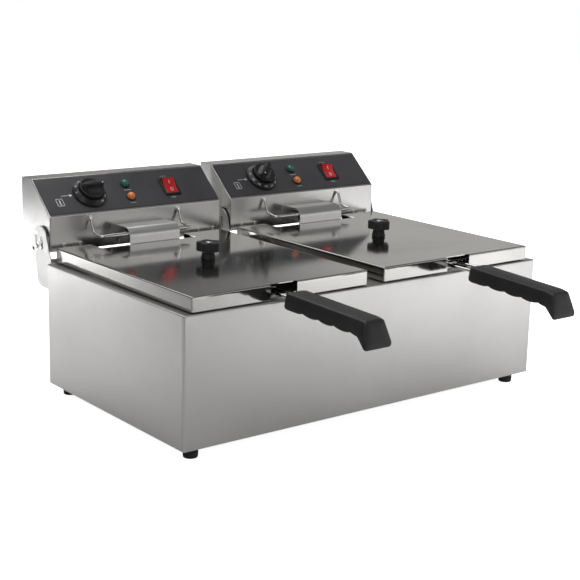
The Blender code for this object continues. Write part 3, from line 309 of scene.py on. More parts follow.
def finish_of(
    name, colour, shade, roughness, metallic, stretch, depth, patch=14.0, wave=0.0, **sockets
):
    """A surface finish: colour drifts to shade in the smudges, roughness runs between
    its two values with smudge and grain, and grain (plus a slow wave) lifts the surface."""
    made = bpy.data.materials.new(name)
    made.use_nodes = True
    nodes, links = made.node_tree.nodes, made.node_tree.links
    shader = nodes["Principled BSDF"]
    shader.inputs["Metallic"].default_value = metallic
    for socket, value in sockets.items():
        shader.inputs[socket.replace("_", " ")].default_value = value
    here = nodes.new("ShaderNodeTexCoord").outputs["Object"]
    grain = nodes.new("ShaderNodeGroup")
    grain.node_tree = grain_group
    grain.inputs["Stretch"].default_value = stretch
    smudge = nodes.new("ShaderNodeGroup")
    smudge.node_tree = smudge_group
    smudge.inputs["Size"].default_value = patch
    links.new(here, grain.inputs["Vector"])
    links.new(here, smudge.inputs["Vector"])
    tone = nodes.new("ShaderNodeMix")
    tone.data_type = "RGBA"
    tone.inputs["A"].default_value = (*colour, 1)
    tone.inputs["B"].default_value = (*shade, 1)
    links.new(smudge.outputs["Smudge"], tone.inputs["Factor"])
    links.new(tone.outputs["Result"], shader.inputs["Base Color"])
    both = nodes.new("ShaderNodeMath")
    both.operation = "MULTIPLY_ADD"
    both.inputs[1].default_value = 0.5
    rough = nodes.new("ShaderNodeMapRange")
    rough.inputs["To Min"].default_value, rough.inputs["To Max"].default_value = roughness
    links.new(grain.outputs["Grain"], both.inputs[0])
    half = nodes.new("ShaderNodeMath")
    half.operation = "MULTIPLY"
    half.inputs[1].default_value = 0.5
    links.new(smudge.outputs["Smudge"], half.inputs[0])
    links.new(half.outputs["Value"], both.inputs[2])
    links.new(both.outputs["Value"], rough.inputs["Value"])
    links.new(rough.outputs["Result"], shader.inputs["Roughness"])
    height = nodes.new("ShaderNodeMath")
    height.operation = "MULTIPLY"
    height.inputs[1].default_value = depth
    links.new(grain.outputs["Grain"], height.inputs[0])
    lift = height.outputs["Value"]
    if wave:
        slow = nodes.new("ShaderNodeTexNoise")
        slow.inputs["Scale"].default_value = 6.0
        slow.inputs["Detail"].default_value = 1.0
        links.new(here, slow.inputs["Vector"])
        swell = nodes.new("ShaderNodeMath")
        swell.operation = "MULTIPLY_ADD"
        swell.inputs[1].default_value = wave
        links.new(slow.outputs["Fac"], swell.inputs[0])
        links.new(lift, swell.inputs[2])
        lift = swell.outputs["Value"]
    bump = nodes.new("ShaderNodeBump")
    bump.inputs["Distance"].default_value = 1.0
    links.new(lift, bump.inputs["Height"])
    links.new(bump.outputs["Normal"], shader.inputs["Normal"])
    return made


rubber = finish_of(
    "black_rubber", (0.016, 0.016, 0.016), (0.045, 0.043, 0.04), (0.62, 0.85), 0.0,
    (900, 900, 900), 2e-5, patch=60.0,
)
for foot in ("foot_front_left", "foot_front_right", "foot_rear_left", "foot_rear_right"):
    low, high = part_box(foot)
    middle = (low + high) / 2
    wide = (high.x - low.x) / 2
    tall = high.z - low.z
    narrow = wide * FOOT_TAPER
    seat = narrow * SEAT_SHARE
    profile = np.concatenate([
        [(0, SEAT_DEPTH), (seat * 0.6, SEAT_DEPTH), (seat, SEAT_EDGE), (seat + SEAT_EDGE, 0)],
        arc((narrow - FOOT_EDGE, FOOT_EDGE), FOOT_EDGE, -90, 0, 4),
        [(wide - FOOT_GROOVE * 0.4, tall * 0.62), (wide - FOOT_GROOVE, tall * 0.68)],
        [(wide - FOOT_GROOVE, tall * 0.76), (wide, tall * 0.82)],
        [(wide, tall - FOOT_TOP_EDGE), (wide - FOOT_TOP_EDGE, tall), (0, tall)],
    ])
    shape = moved(turned(profile), Matrix.Translation((middle.x, middle.y, low.z)))
    piece(f"{foot}_rubber", mesh_of(foot, shape), rubber, "body", "black_rubber", foot)

# ---- Casing and bottom pan -----------------------------------------------------
# One brushed stainless sheet folded round front, sides, back and deck, open
# below; the front panel meets each side in a fine upright seam.
SHEET = 0.0012
CASING_FOLD = 0.0016
SEAM_BACK = 0.0030
SEAM_WIDTH = 0.0006
SEAM_DEPTH = 0.0006
SEAM_PAST = 0.001
CASING_CORNER = 0.0018
FLAT_RUN = 0.002
POT_CORNER = 0.018
POT_FLANGE = 0.004
POT_LAP = 0.0004
HOLE_REACH = 0.004


def round_pan(centre, half, corner, profile, steps=6):
    """A profile carried round a rounded rectangle. Each (outward, height) of the profile
    grows the rectangle and its corner radius; where it would turn inside out it closes."""
    profile = np.asarray(profile, float)
    outward = profile[:, 0][:, None, None]
    angle = np.radians(np.arange(4)[:, None] * 90 + np.linspace(0, 90, steps + 1))
    signs = np.array([(1, 1), (-1, 1), (-1, -1), (1, -1)])[None, :, None, :]
    radius = np.maximum(corner + outward, 0)
    reach_x = np.maximum(half[0] + outward - radius, 0)
    reach_y = np.maximum(half[1] + outward - radius, 0)
    x = centre[0] + signs[..., 0] * reach_x + radius * np.cos(angle)
    y = centre[1] + signs[..., 1] * reach_y + radius * np.sin(angle)
    z = profile[:, 1][:, None, None] * np.ones_like(x)
    grid = np.stack([x, y, z], axis=-1).reshape(len(profile), -1, 3)
    return grid_shape(grid)


def block(low, high):
    """A plain cutter: the box between two corners as a grid of two rings with caps."""
    low, high = np.minimum(low, high), np.maximum(low, high)
    ring = np.array([(low[0], low[1]), (high[0], low[1]), (high[0], high[1]), (low[0], high[1])])
    rows = [np.column_stack([ring, np.full(4, z)]) for z in (low[2], high[2])]
    return grid_shape(np.array(rows), caps=True)


def cut(obj, *shapes, crease=CREASE):
    """Cuts shapes out of a piece with the exact Boolean and keeps the result as its mesh."""
    for number, shape in enumerate(shapes):
        cutter = bpy.data.objects.new(f"cutter_{number}", mesh_of("cutter", shape))
        scene.collection.objects.link(cutter)
        modifier = obj.modifiers.new("cut", "BOOLEAN")
        modifier.operation = "DIFFERENCE"
        modifier.solver = "EXACT"
        modifier.object = cutter
        whole = obj.evaluated_get(bpy.context.evaluated_depsgraph_get())
        result = bpy.data.meshes.new_from_object(whole)
        obj.modifiers.clear()
        result.name = obj.name
        obj.data = result
        bpy.data.objects.remove(cutter)
    clean(obj.data, crease)


def fold_pan_profile(top, bottom, fold, sheet, half):
    """The profile of a pan folded down at its rim: inner face, lip, outer wall, fold, top."""
    return np.concatenate([
        [(-half, top - sheet), (-sheet, top - sheet), (-sheet, bottom), (0, bottom)],
        [(0, top - fold - FLAT_RUN)],
        arc((-fold, top - fold), fold, 0, 90, 5),
        [(-fold - FLAT_RUN, top), (-half, top)],
    ])


wall_steel = finish_of(
    "brushed_steel_walls", (0.76, 0.755, 0.745), (0.70, 0.69, 0.675), (0.29, 0.35), 1.0,
    (0.8, 0.8, 600), 2.0e-7, patch=5.0, wave=8.0e-5,
)
low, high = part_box("casing")
centre = (low + high) / 2
half = ((high.x - low.x) / 2, (high.y - low.y) / 2)
profile = fold_pan_profile(high.z, low.z, CASING_FOLD, SHEET, half[1])
casing = piece(
    "casing_shell", mesh_of("casing_shell", round_pan(centre, half, CASING_CORNER, profile)),
    wall_steel, "body", "brushed_stainless", "casing",
)
openings = []
for side in ("left", "right"):
    pot_low, pot_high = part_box(f"oil_pot_{side}")
    lap = POT_FLANGE - POT_LAP
    pot_half = ((pot_high.x - pot_low.x) / 2 - lap, (pot_high.y - pot_low.y) / 2 - lap)
    pot_centre = (pot_low + pot_high) / 2
    hole = np.array([(0, high.z - HOLE_REACH), (0, high.z + HOLE_REACH)])
    openings.append(round_pan(pot_centre, pot_half, POT_CORNER, np.concatenate(
        [[(-pot_half[0], hole[0, 1])], hole, [(-pot_half[0], hole[1, 1])]]
    )))
for x, inward in ((low.x, SEAM_DEPTH), (high.x, -SEAM_DEPTH)):
    openings.append(block(
        (x - inward, low.y + SEAM_BACK, low.z - SEAM_PAST),
        (x + inward, low.y + SEAM_BACK + SEAM_WIDTH, high.z - SHEET),
    ))
cut(casing, *openings)

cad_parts["base_plate"].data.materials.clear()
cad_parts["base_plate"].data.materials.append(wall_steel)

# ---- Oil pots ------------------------------------------------------------------
# Two deep-drawn stainless pans with a rolled rim, hung by a flange on the deck.
POT_SHEET = 0.0010
POT_FLOOR_RADIUS = 0.012
FLOOR_RUN = 0.004
DECK_GAP = 0.0003
NECK_EDGE = 0.0006
pot_steel = finish_of(
    "drawn_steel_pot", (0.64, 0.63, 0.61), (0.50, 0.47, 0.42), (0.14, 0.26), 1.0,
    (60, 60, 700), 2e-6, patch=9.0, wave=1.5e-4,
)
for side in ("left", "right"):
    low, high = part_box(f"oil_pot_{side}")
    centre = (low + high) / 2
    half = ((high.x - low.x) / 2 - POT_FLANGE, (high.y - low.y) / 2 - POT_FLANGE)
    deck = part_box("casing")[1].z + DECK_GAP
    bend = POT_FLOOR_RADIUS
    outer = np.concatenate([
        [(-half[0], low.z), (-bend - FLOOR_RUN, low.z)],
        arc((-bend, low.z + bend), bend, -90, 0, 6),
        [(0, deck), (POT_FLANGE, deck), (POT_FLANGE, deck + POT_SHEET)],
        [(NECK_EDGE, deck + POT_SHEET), (0, deck + 2 * POT_SHEET)],
        arc((-POT_SHEET / 2, high.z - POT_SHEET / 2), POT_SHEET / 2, 0, 180, 6),
    ])
    inner = np.concatenate([
        arc((-bend, low.z + bend), bend - POT_SHEET, 0, -90, 6),
        [(-bend - FLOOR_RUN, low.z + POT_SHEET), (-half[0], low.z + POT_SHEET)],
    ])
    shape = round_pan(centre, half, POT_CORNER, np.concatenate([outer, inner]), 8)
    piece(f"oil_pot_{side}_pan", mesh_of("pot", shape), pot_steel, "body", "polished_stainless",
          f"oil_pot_{side}")

# ---- Head brackets ---------------------------------------------------------------
# A folded steel bracket on the casing's back for each head: two upright ears with
# slots for the head's studs. Its punched edges are slightly broken.
PUNCHED_EDGE = 0.0003


def softened(name, node, width, material, body, slot, segments=2, rounds=None):
    """The CAD piece as one welded skin with its edges rounded. Where rounds is given,
    only edges whose middle and length it accepts are rounded."""
    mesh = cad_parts[node].data.copy()
    skin = bmesh.new()
    skin.from_mesh(mesh)
    bmesh.ops.remove_doubles(skin, verts=skin.verts, dist=WELD)
    bmesh.ops.dissolve_limit(skin, angle_limit=math.radians(1), verts=skin.verts, edges=skin.edges)
    if rounds:
        weight = skin.edges.layers.float.new("bevel_weight_edge")
        for edge in skin.edges:
            middle = (edge.verts[0].co + edge.verts[1].co) / 2
            folded = edge.is_manifold and edge.calc_face_angle(0) > math.radians(25)
            edge[weight] = 1.0 if folded and rounds(middle, edge.calc_length()) else 0.0
    skin.to_mesh(mesh)
    skin.free()
    mesh.shade_smooth()
    mesh.set_sharp_from_angle(angle=math.radians(CREASE))
    obj = piece(name, mesh, material, body, slot, node)
    bevel = obj.modifiers.new("rounding", "BEVEL")
    bevel.width = width
    bevel.segments = segments
    bevel.limit_method = "WEIGHT" if rounds else "ANGLE"
    bevel.angle_limit = math.radians(CREASE)
    bevel.harden_normals = True
    return obj


for side in ("left", "right"):
    node = f"head_bracket_{side}"
    softened(f"{node}_folded", node, PUNCHED_EDGE, wall_steel, "body", "brushed_stainless")

# ---- Heating elements and sensors --------------------------------------------------
# A tubular steel element comes out of each head, runs down the pot's rear wall
# and loops over its floor; the sensor's bulb hangs between its legs.


def bent(corners, radius, steps=8):
    """A path through corner points whose inner corners are arcs of the given radius."""
    corners = np.asarray(corners, float)
    points = [corners[:1]]
    for before, corner, after in zip(corners, corners[1:], corners[2:]):
        back = (before - corner) / np.linalg.norm(before - corner)
        ahead = (after - corner) / np.linalg.norm(after - corner)
        half = math.acos(np.clip(back @ ahead, -1, 1)) / 2
        middle = (back + ahead) / np.linalg.norm(back + ahead)
        centre = corner + middle * radius / math.sin(half)
        start = corner + back * radius / math.tan(half) - centre
        side = -middle * radius - start * ((-middle * radius) @ start) / radius**2
        side = side / np.linalg.norm(side) * radius
        sweep = np.linspace(0, math.pi - 2 * half, steps + 1)[:, None]
        points.append(centre + start * np.cos(sweep) + side * np.sin(sweep))
    points.append(corners[-1:])
    return np.concatenate(points)


def tubes(paths, radius, reference, sides=8, closed=False):
    """Round wires along paths of (wires, points, 3): round each point a circle stands
    square to the path, laid out from the path's cross product with the reference."""
    paths = np.asarray(paths, float)
    paths = paths[None] if paths.ndim == 2 else paths
    if closed:
        along = np.roll(paths, -1, 1) - np.roll(paths, 1, 1)
    else:
        along = np.gradient(paths, axis=1)
    along /= np.linalg.norm(along, axis=-1, keepdims=True)
    side = np.cross(along, np.asarray(reference, float))
    side /= np.linalg.norm(side, axis=-1, keepdims=True)
    up = np.cross(side, along)
    angle = np.linspace(0, 2 * np.pi, sides, endpoint=False)[:, None]
    ring = side[:, :, None] * np.cos(angle) + up[:, :, None] * np.sin(angle)
    points = paths[:, :, None] + radius * ring
    wires, steps = paths.shape[:2]
    index = np.arange(wires * steps * sides).reshape(wires, steps, sides)
    round_index = np.concatenate([index, index[:, :, :1]], axis=2)
    long_index = np.concatenate([round_index, round_index[:, :1]], axis=1) if closed else round_index
    a, b = long_index[:, :-1, :-1], long_index[:, :-1, 1:]
    c, d = long_index[:, 1:, 1:], long_index[:, 1:, :-1]
    faces = np.stack([a, b, c, d], axis=-1).reshape(-1, 4).tolist()
    if not closed:
        faces += index[:, 0, ::-1].tolist() + index[:, -1].tolist()
    return points.reshape(-1, 3), faces


sheath = finish_of(
    "element_sheath", (0.30, 0.27, 0.24), (0.16, 0.12, 0.10), (0.28, 0.50), 1.0,
    (500, 500, 500), 6e-6, patch=40.0,
)
chrome = finish_of(
    "bright_wire", (0.80, 0.80, 0.79), (0.66, 0.65, 0.62), (0.05, 0.22), 1.0,
    (700, 700, 700), 1e-6, patch=50.0,
)
ELEMENT_ROD = 0.0042
ELEMENT_BEND = 0.012
LEG_SPREAD = 0.022
LOOP_SPREAD = LEG_SPREAD * 1.6
LOOP_GAP = 0.032
REAR_GAP = 0.060
LEG_BEFORE_HEAD = 0.0203
GUARD_OFFSET = 0.0028
ENTRY_LIFT = 0.0155
CAPILLARY = 0.0012
CAPILLARY_BEND = 0.008
CAPILLARY_DROP = 0.030
BULB_ROD = 0.0034
BULB_LENGTH = 0.085
BULB_END = 0.0905
GASKET_LENGTH = 0.008
GASKET_BORE = 0.0014
GASKET_SEAT = 0.002
for side in ("left", "right"):
    head_low, head_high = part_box(f"head_housing_{side}")
    low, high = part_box(f"heating_element_{side}")
    head = f"head_{side}"
    x = (head_low.x + head_high.x) / 2 + GUARD_OFFSET
    floor_z = low.z + ELEMENT_ROD
    entry = head_low.z + ENTRY_LIFT
    leg_y = head_low.y - LEG_BEFORE_HEAD
    wide = (high.x - low.x) / 2 - ELEMENT_ROD
    front = low.y + ELEMENT_ROD
    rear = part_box(f"oil_pot_{side}")[1].y - POT_FLANGE - REAR_GAP
    middle = rear - LOOP_GAP
    loop = [
        (LEG_SPREAD, high.y, entry), (LEG_SPREAD, leg_y, entry), (LEG_SPREAD, leg_y, floor_z),
        (LEG_SPREAD, rear, floor_z), (wide, rear, floor_z), (wide, front, floor_z),
        (LOOP_SPREAD, front, floor_z), (LOOP_SPREAD, middle, floor_z),
    ]
    corners = [(x - px, y, z) for px, y, z in loop] + [(x + px, y, z) for px, y, z in reversed(loop)]
    shape = tubes(bent(corners, ELEMENT_BEND, 8), ELEMENT_ROD, (0.1, 1, -1), 16)
    piece(f"heating_element_{side}_tube", mesh_of("element", shape), sheath, head, "element_sheath",
          f"heating_element_{side}")
    low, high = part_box(f"sensor_bulb_{side}")
    path = bent(
        [(x, high.y, entry), (x, leg_y, entry), (x, leg_y, entry - CAPILLARY_DROP)], CAPILLARY_BEND
    )
    capillary = tubes(path, CAPILLARY, (1, 0, 0), 10)
    bulb_profile = np.concatenate([
        arc((0, BULB_ROD), BULB_ROD, -90, 0, 5), arc((0, BULB_LENGTH), BULB_ROD, 0, 70, 5),
        [(CAPILLARY, BULB_END), (0, BULB_END)],
    ])
    bulb = moved(turned(bulb_profile, 16), Matrix.Translation((x, leg_y, low.z)))
    gasket_profile = [
        (0, 0), (BULB_ROD, 0), (BULB_ROD, GASKET_LENGTH * 0.75),
        (GASKET_BORE, GASKET_LENGTH), (0, GASKET_LENGTH),
    ]
    gasket = moved(
        turned(gasket_profile, 16),
        Matrix.Translation((x, head_low.y + GASKET_SEAT, entry)) @ Matrix.Rotation(math.radians(90), 4, "X"),
    )
    piece(f"sensor_{side}_bulb", mesh_of("bulb", capillary, bulb, gasket), chrome, head, "chrome_wire",
          f"sensor_bulb_{side}")

# ---- Baskets -----------------------------------------------------------------------
# Welded and chromed wire baskets: U-shaped wires both ways, rings round the walls,
# a thick rim rod on top and a second frame rod under it.
MESH_WIRE = 0.0006
MESH_PITCH = 0.0064
FRAME_ROD = 0.0019
LOWER_ROD = FRAME_ROD * 0.7
FRAME_DROP = 0.012
WIRE_BEND = 0.010
BASKET_CORNER = 0.016
TAPER = 0.006


def u_wires(count, spread, reach_low, reach_high, top, bottom, bend, axis):
    """U-shaped wires side by side: down one wall, across the floor and up the other."""
    sweep = np.linspace(0, np.pi / 2, 5)
    flat_low, flat_high = reach_low[1] + bend, reach_high[1] - bend
    left = np.stack([flat_low - bend * np.cos(sweep), bottom + bend - bend * np.sin(sweep)], -1)
    right = np.stack([flat_high + bend * np.sin(sweep), bottom + bend - bend * np.cos(sweep)], -1)
    outline = np.concatenate([[(reach_low[0], top)], left, right, [(reach_high[0], top)]])
    where = np.linspace(spread[0], spread[1], count)[:, None] * np.ones((1, len(outline)))
    along = np.broadcast_to(outline[:, 0], where.shape)
    height = np.broadcast_to(outline[:, 1], where.shape)
    order = (where, along, height) if axis == "y" else (along, where, height)
    return np.stack(order, axis=-1)


for side in ("left", "right"):
    low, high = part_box(f"basket_{side}")
    centre = (low + high) / 2
    half = ((high.x - low.x) / 2, (high.y - low.y) / 2)
    inset = MESH_WIRE * 2
    top, bottom = high.z - FRAME_ROD, low.z + MESH_WIRE
    wall_x = (half[0] - inset, half[0] - inset - TAPER)
    wall_y = (half[1] - inset, half[1] - inset - TAPER)
    free = BASKET_CORNER * 0.8
    shapes = []
    for axis, reach, spread, lift, middle in (
        ("y", wall_y, wall_x[1] - free, 0.0, (centre.y, centre.x)),
        ("x", wall_x, wall_y[1] - free, 2 * MESH_WIRE, (centre.x, centre.y)),
    ):
        count = int(round(2 * spread / MESH_PITCH)) + 1
        wires = u_wires(
            count, (middle[1] - spread, middle[1] + spread),
            (middle[0] - reach[0], middle[0] - reach[1]), (middle[0] + reach[0], middle[0] + reach[1]),
            top, bottom + lift, WIRE_BEND, axis,
        )
        shapes.append(tubes(wires, MESH_WIRE, (1, 0.02, 0.01) if axis == "y" else (0.02, 1, 0.01), 5))
    count = int((top - bottom - FRAME_DROP) / MESH_PITCH)
    heights = np.linspace(bottom + FRAME_DROP, top, count)
    share = (top - heights) / (top - bottom)
    rings = [
        round_pan(centre, (half[0] - inset, half[1] - inset), BASKET_CORNER, [(-TAPER * s, z)], 4)[0]
        for s, z in zip(share, heights)
    ]
    shapes.append(tubes(np.array(rings), MESH_WIRE, (0.01, 0.02, 1), 5, closed=True))
    for drop, rod in ((0.0, FRAME_ROD), (FRAME_DROP, LOWER_ROD)):
        ring = round_pan(
            centre, (half[0] - FRAME_ROD, half[1] - FRAME_ROD), BASKET_CORNER, [(0, top - drop)], 8
        )[0]
        shapes.append(tubes(ring, rod, (0.01, 0.02, 1), 10, closed=True))
    piece(f"basket_{side}_wire", mesh_of("basket", *shapes, crease=60), chrome, f"basket_{side}",
          "chrome_wire", f"basket_{side}")

# ---- Stirrups and grips ---------------------------------------------------------------
# A chromed rod bent in a U hooks each basket's rim; its two ends are pressed into a
# hollow black moulding with finger waves below and a dropped, blunt nose.
STIRRUP_ROD = 0.0022
STIRRUP_SPREAD = 0.0105
STIRRUP_BEND = 0.006
GRIP_LENGTH = 0.149
GRIP_TOP_WIDTH = 0.0295
GRIP_WIDTH = 0.034
GRIP_HEIGHT = 0.0192
NOSE_WIDTH = 0.0405
NOSE_DROP = 0.0112
NOSE_RUN = 0.0185
NOSE_CURVE = 1.25
NOSE_LEAN = 0.27
CAP_SET_BACK = 0.0117
CAP_RUN = 0.021
GRIP_CORNER = 0.0030
CAP_CORNER = 0.0046
FINGER_PITCH = 0.0270
FINGER_START = 0.0100
FINGER_DEPTH = 0.0026
FINGER_ROUND = 0.6
FIRST_FINGER, LAST_FINGER = 0.5, 4.5
GRIP_ROWS = 85
CAP_DOME = ((0.985, 0.0012), (0.94, 0.0021), (0.86, 0.0027), (0.4, 0.0030), (0.0, 0.0030))
END_ROUND = 0.0090
END_NARROW = 0.0078
END_FLATTEN = 0.0034
TOP_FALL = {"left": 0.0040, "right": 0.0070}
grip_black = finish_of(
    "moulded_black", (0.014, 0.014, 0.015), (0.024, 0.024, 0.025), (0.38, 0.52), 0.0,
    (1500, 1500, 1500), 9e-6, patch=24.0,
)


def grip_section(width, top_width, deep, corner, steps=4):
    """A rounded trapezium, (x, depth below the top), from four corner arcs."""
    lean = math.degrees(math.atan2((width - top_width) / 2, deep))
    tops = [
        arc((-top_width / 2 + corner, corner), corner, 180 + lean, 270, steps),
        arc((top_width / 2 - corner, corner), corner, 270, 360 - lean, steps),
    ]
    bases = [
        arc((width / 2 - corner, deep - corner), corner, -lean, 90, steps),
        arc((-width / 2 + corner, deep - corner), corner, 90, 180 + lean, steps),
    ]
    return np.concatenate(tops + bases)


for side in ("left", "right"):
    low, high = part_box(f"basket_grip_{side}")
    x = (low.x + high.x) / 2
    rod_low, rod_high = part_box(f"basket_stirrup_{side}")
    rod_z = (rod_low.z + rod_high.z) / 2
    body = f"basket_{side}"
    corners = [
        (x - STIRRUP_SPREAD, rod_low.y, rod_z), (x - STIRRUP_SPREAD, rod_high.y - STIRRUP_ROD, rod_z),
        (x + STIRRUP_SPREAD, rod_high.y - STIRRUP_ROD, rod_z), (x + STIRRUP_SPREAD, rod_low.y, rod_z),
    ]
    rod = tubes(bent(corners, STIRRUP_BEND, 6), STIRRUP_ROD, (0, 0, 1), 14)
    piece(f"basket_stirrup_{side}_rod", mesh_of("stirrup", rod), chrome, body, "chrome_wire",
          f"basket_stirrup_{side}")
    start = high.y
    reach = start - low.y
    slope = TOP_FALL[side] / GRIP_LENGTH
    rows = []
    for along in np.linspace(0, reach, GRIP_ROWS):
        open_end = 1 - math.sqrt(1 - (1 - min(along / END_ROUND, 1.0)) ** 2)
        narrow, flatten = END_NARROW * open_end, END_FLATTEN * open_end
        nose = max(1 - (reach - along) / NOSE_RUN, 0.0) ** NOSE_CURVE
        finger = min(max((along - FINGER_START) / FINGER_PITCH, FIRST_FINGER), LAST_FINGER)
        wave = FINGER_DEPTH * (1 - abs(math.sin(math.pi * finger)) ** FINGER_ROUND)
        deep = GRIP_HEIGHT - wave + NOSE_DROP * nose
        width = GRIP_WIDTH + (NOSE_WIDTH - GRIP_WIDTH) * nose
        corner = GRIP_CORNER + (CAP_CORNER - GRIP_CORNER) * nose
        section = grip_section(
            width - 2 * narrow, GRIP_TOP_WIDTH - 2 * narrow, deep - 2 * flatten, corner
        )
        rows.append(np.column_stack([
            x + section[:, 0], np.full(len(section), start - along),
            high.z - slope * along - flatten - section[:, 1],
        ]))
    rows = np.array(rows)
    depth = rows[..., 2].max(axis=1, keepdims=True) - rows[..., 2]
    late = np.clip((start - rows[..., 1] - (reach - CAP_RUN)) / CAP_RUN, 0, 1)
    rows[..., 1] += late * (CAP_SET_BACK - NOSE_LEAN * depth)
    middle = rows[-1].mean(axis=0)
    front = [middle + (rows[-1] - middle) * share + np.array([0, -dome, 0]) for share, dome in CAP_DOME]
    root = rows[0].mean(axis=0)
    back = [root + (rows[0] - root) * share for share in (0.0, 0.6)]
    grid = np.concatenate([np.array(back), rows, np.array(front)])
    piece(f"basket_grip_{side}_moulding", mesh_of("grip", grid_shape(grid), crease=60), grip_black,
          body, "black_plastic", f"basket_grip_{side}")

# ---- Lids ------------------------------------------------------------------------------
# Shallow pans folded from satin-polished sheet, notched in front for the stirrup and
# behind for the hook and the element guard; they lie on the pots' rims.
LID_FOLD = 0.0014
LID_SHEET = 0.0010
LID_CORNER = 0.0016
CUT_PAST = 0.002
NOTCH_WIDTH = 0.0386
NOTCH_DEPTH = 0.0040
HOOK_WIDTH = 0.1350
HOOK_OFFSET = -0.0065
HOOK_ROD = 0.0022
NOTCH_CLEARANCE = 0.002
lid_steel = finish_of(
    "satin_mirror_lid", (0.60, 0.59, 0.575), (0.52, 0.51, 0.495), (0.055, 0.17), 1.0,
    (900, 6, 6), 6e-7, patch=7.0, wave=1.6e-4,
)
for side in ("left", "right"):
    low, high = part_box(f"lid_{side}")
    head_low, head_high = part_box(f"head_housing_{side}")
    centre = (low + high) / 2
    half = ((high.x - low.x) / 2, (high.y - low.y) / 2)
    profile = fold_pan_profile(high.z, low.z, LID_FOLD, LID_SHEET, min(half))
    lid = piece(
        f"lid_{side}_pan", mesh_of("lid", round_pan(centre, half, LID_CORNER, profile)), lid_steel,
        f"lid_{side}", "polished_stainless", f"lid_{side}",
    )
    hook_x = (head_low.x + head_high.x) / 2 + HOOK_OFFSET
    reach = HOOK_WIDTH / 2 + HOOK_ROD + NOTCH_CLEARANCE
    guard_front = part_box(f"element_guard_{side}")[0].y
    cut(
        lid,
        block((centre.x - NOTCH_WIDTH / 2, low.y - CUT_PAST, low.z - CUT_PAST),
              (centre.x + NOTCH_WIDTH / 2, low.y + NOTCH_DEPTH, high.z + CUT_PAST)),
        block((hook_x - reach, guard_front - NOTCH_CLEARANCE, low.z - CUT_PAST),
              (hook_x + reach, high.y + CUT_PAST, high.z + CUT_PAST)),
    )

# ---- Lid knobs -----------------------------------------------------------------------------
# Five-lobed black phenolic knobs on a waisted stem, each with a small steel cap over
# the screw that holds it to the lid.
KNOB_STEM = 0.0065
KNOB_STAR = 0.0138
KNOB_NECK = 0.0098
KNOB_EDGE = 0.0016
STEM_FOOT = 0.0012
STEM_CURVE = 0.0060
STEM_FLARE = 0.0008
KNOB_LOBES, LOBE_DEPTH = 5, 0.0016
CAP_RADIUS, CAP_HEIGHT = 0.0042, 0.0014
CAP_SINK = 0.0011
for side in ("left", "right"):
    low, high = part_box(f"lid_knob_{side}")
    middle = (low + high) / 2
    tall = high.z - low.z
    rim = KNOB_STAR - KNOB_EDGE
    profile = np.concatenate([
        [(0, 0), (KNOB_STEM + STEM_FOOT, 0), (KNOB_STEM + STEM_FOOT, STEM_FOOT)],
        arc((KNOB_STEM + STEM_CURVE * 1.1, KNOB_NECK * 0.55), STEM_CURVE, 220, 180, 3),
        [(KNOB_STEM, KNOB_NECK * 0.8), (KNOB_STEM + STEM_FLARE, KNOB_NECK), (rim, KNOB_NECK)],
        arc((rim, KNOB_NECK + KNOB_EDGE), KNOB_EDGE, -60, 0, 4),
        arc((rim, tall - KNOB_EDGE), KNOB_EDGE, 0, 90, 5),
        [(KNOB_STAR * 0.62, tall), (KNOB_STAR * 0.58, tall - 0.0007), (0, tall - 0.0009)],
    ])
    place = Matrix.Translation((middle.x, middle.y, low.z))
    shape = moved(turned(profile, 80, lobes=KNOB_LOBES, depth=LOBE_DEPTH), place)
    piece(f"lid_knob_{side}_star", mesh_of("knob", shape, crease=40), grip_black, f"lid_{side}",
          "black_plastic", f"lid_knob_{side}")
    cap_profile = np.concatenate([
        [(0, 0), (CAP_RADIUS, 0)], arc((CAP_RADIUS - 0.001, 0.0002), 0.001, 0, 80, 4), [(0, CAP_HEIGHT)],
    ])
    cap = moved(turned(cap_profile, 24), place @ Matrix.Translation((0, 0, tall - CAP_SINK)))
    piece(f"lid_knob_{side}_cap", mesh_of("knob_cap", cap), chrome, f"lid_{side}", "chrome_wire")

# ---- Control head housings -----------------------------------------------------------------
# Each head is one folded stainless housing with a slanted top front; its sides are
# welded in and ground. The rear cover drops inside its mouth.
HEAD_FOLD = 0.0013
FACE_HEIGHT = 0.0452
SLANT_RUN = 0.0489
MOUTH_DEPTH = 0.004
LONG_FOLD = 0.035
COVER_SCREW, COVER_INSET = 0.0034, 0.010
FACE_SCREW, FACE_SCREW_LIFT = 0.0024, 0.0080
FACE_SCREW_X = (-0.1110, -0.0875, 0.0960, 0.1195)
head_steel = finish_of(
    "brushed_steel_head", (0.64, 0.635, 0.625), (0.57, 0.56, 0.545), (0.19, 0.26), 1.0,
    (0.8, 500, 500), 2.0e-7, patch=6.0, wave=8.0e-5,
)
cover_steel = finish_of(
    "brushed_steel_cover", (0.60, 0.595, 0.585), (0.52, 0.51, 0.495), (0.29, 0.36), 1.0,
    (0.8, 0.8, 600), 2.0e-7, patch=8.0, wave=8.0e-5,
)


def fascia(side):
    """The frame of a head's slope: X across, Y up the slope, Z out of it."""
    low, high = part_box(f"head_housing_{side}")
    foot = Vector(((low.x + high.x) / 2, low.y, low.z + FACE_HEIGHT))
    angle = math.atan2(high.z - foot.z, SLANT_RUN)
    return Matrix.Translation(foot) @ Matrix.Rotation(angle, 4, "X")


def screw_head(radius):
    """A pan-head screw: a low dome with a round sunk middle for its recess."""
    profile = np.concatenate([
        [(0, 0), (radius, 0)], arc((radius * 0.62, radius * 0.08), radius * 0.38, 0, 80, 4),
        [(radius * 0.34, radius * 0.42), (radius * 0.28, radius * 0.22), (0, radius * 0.22)],
    ])
    return turned(profile, 16)


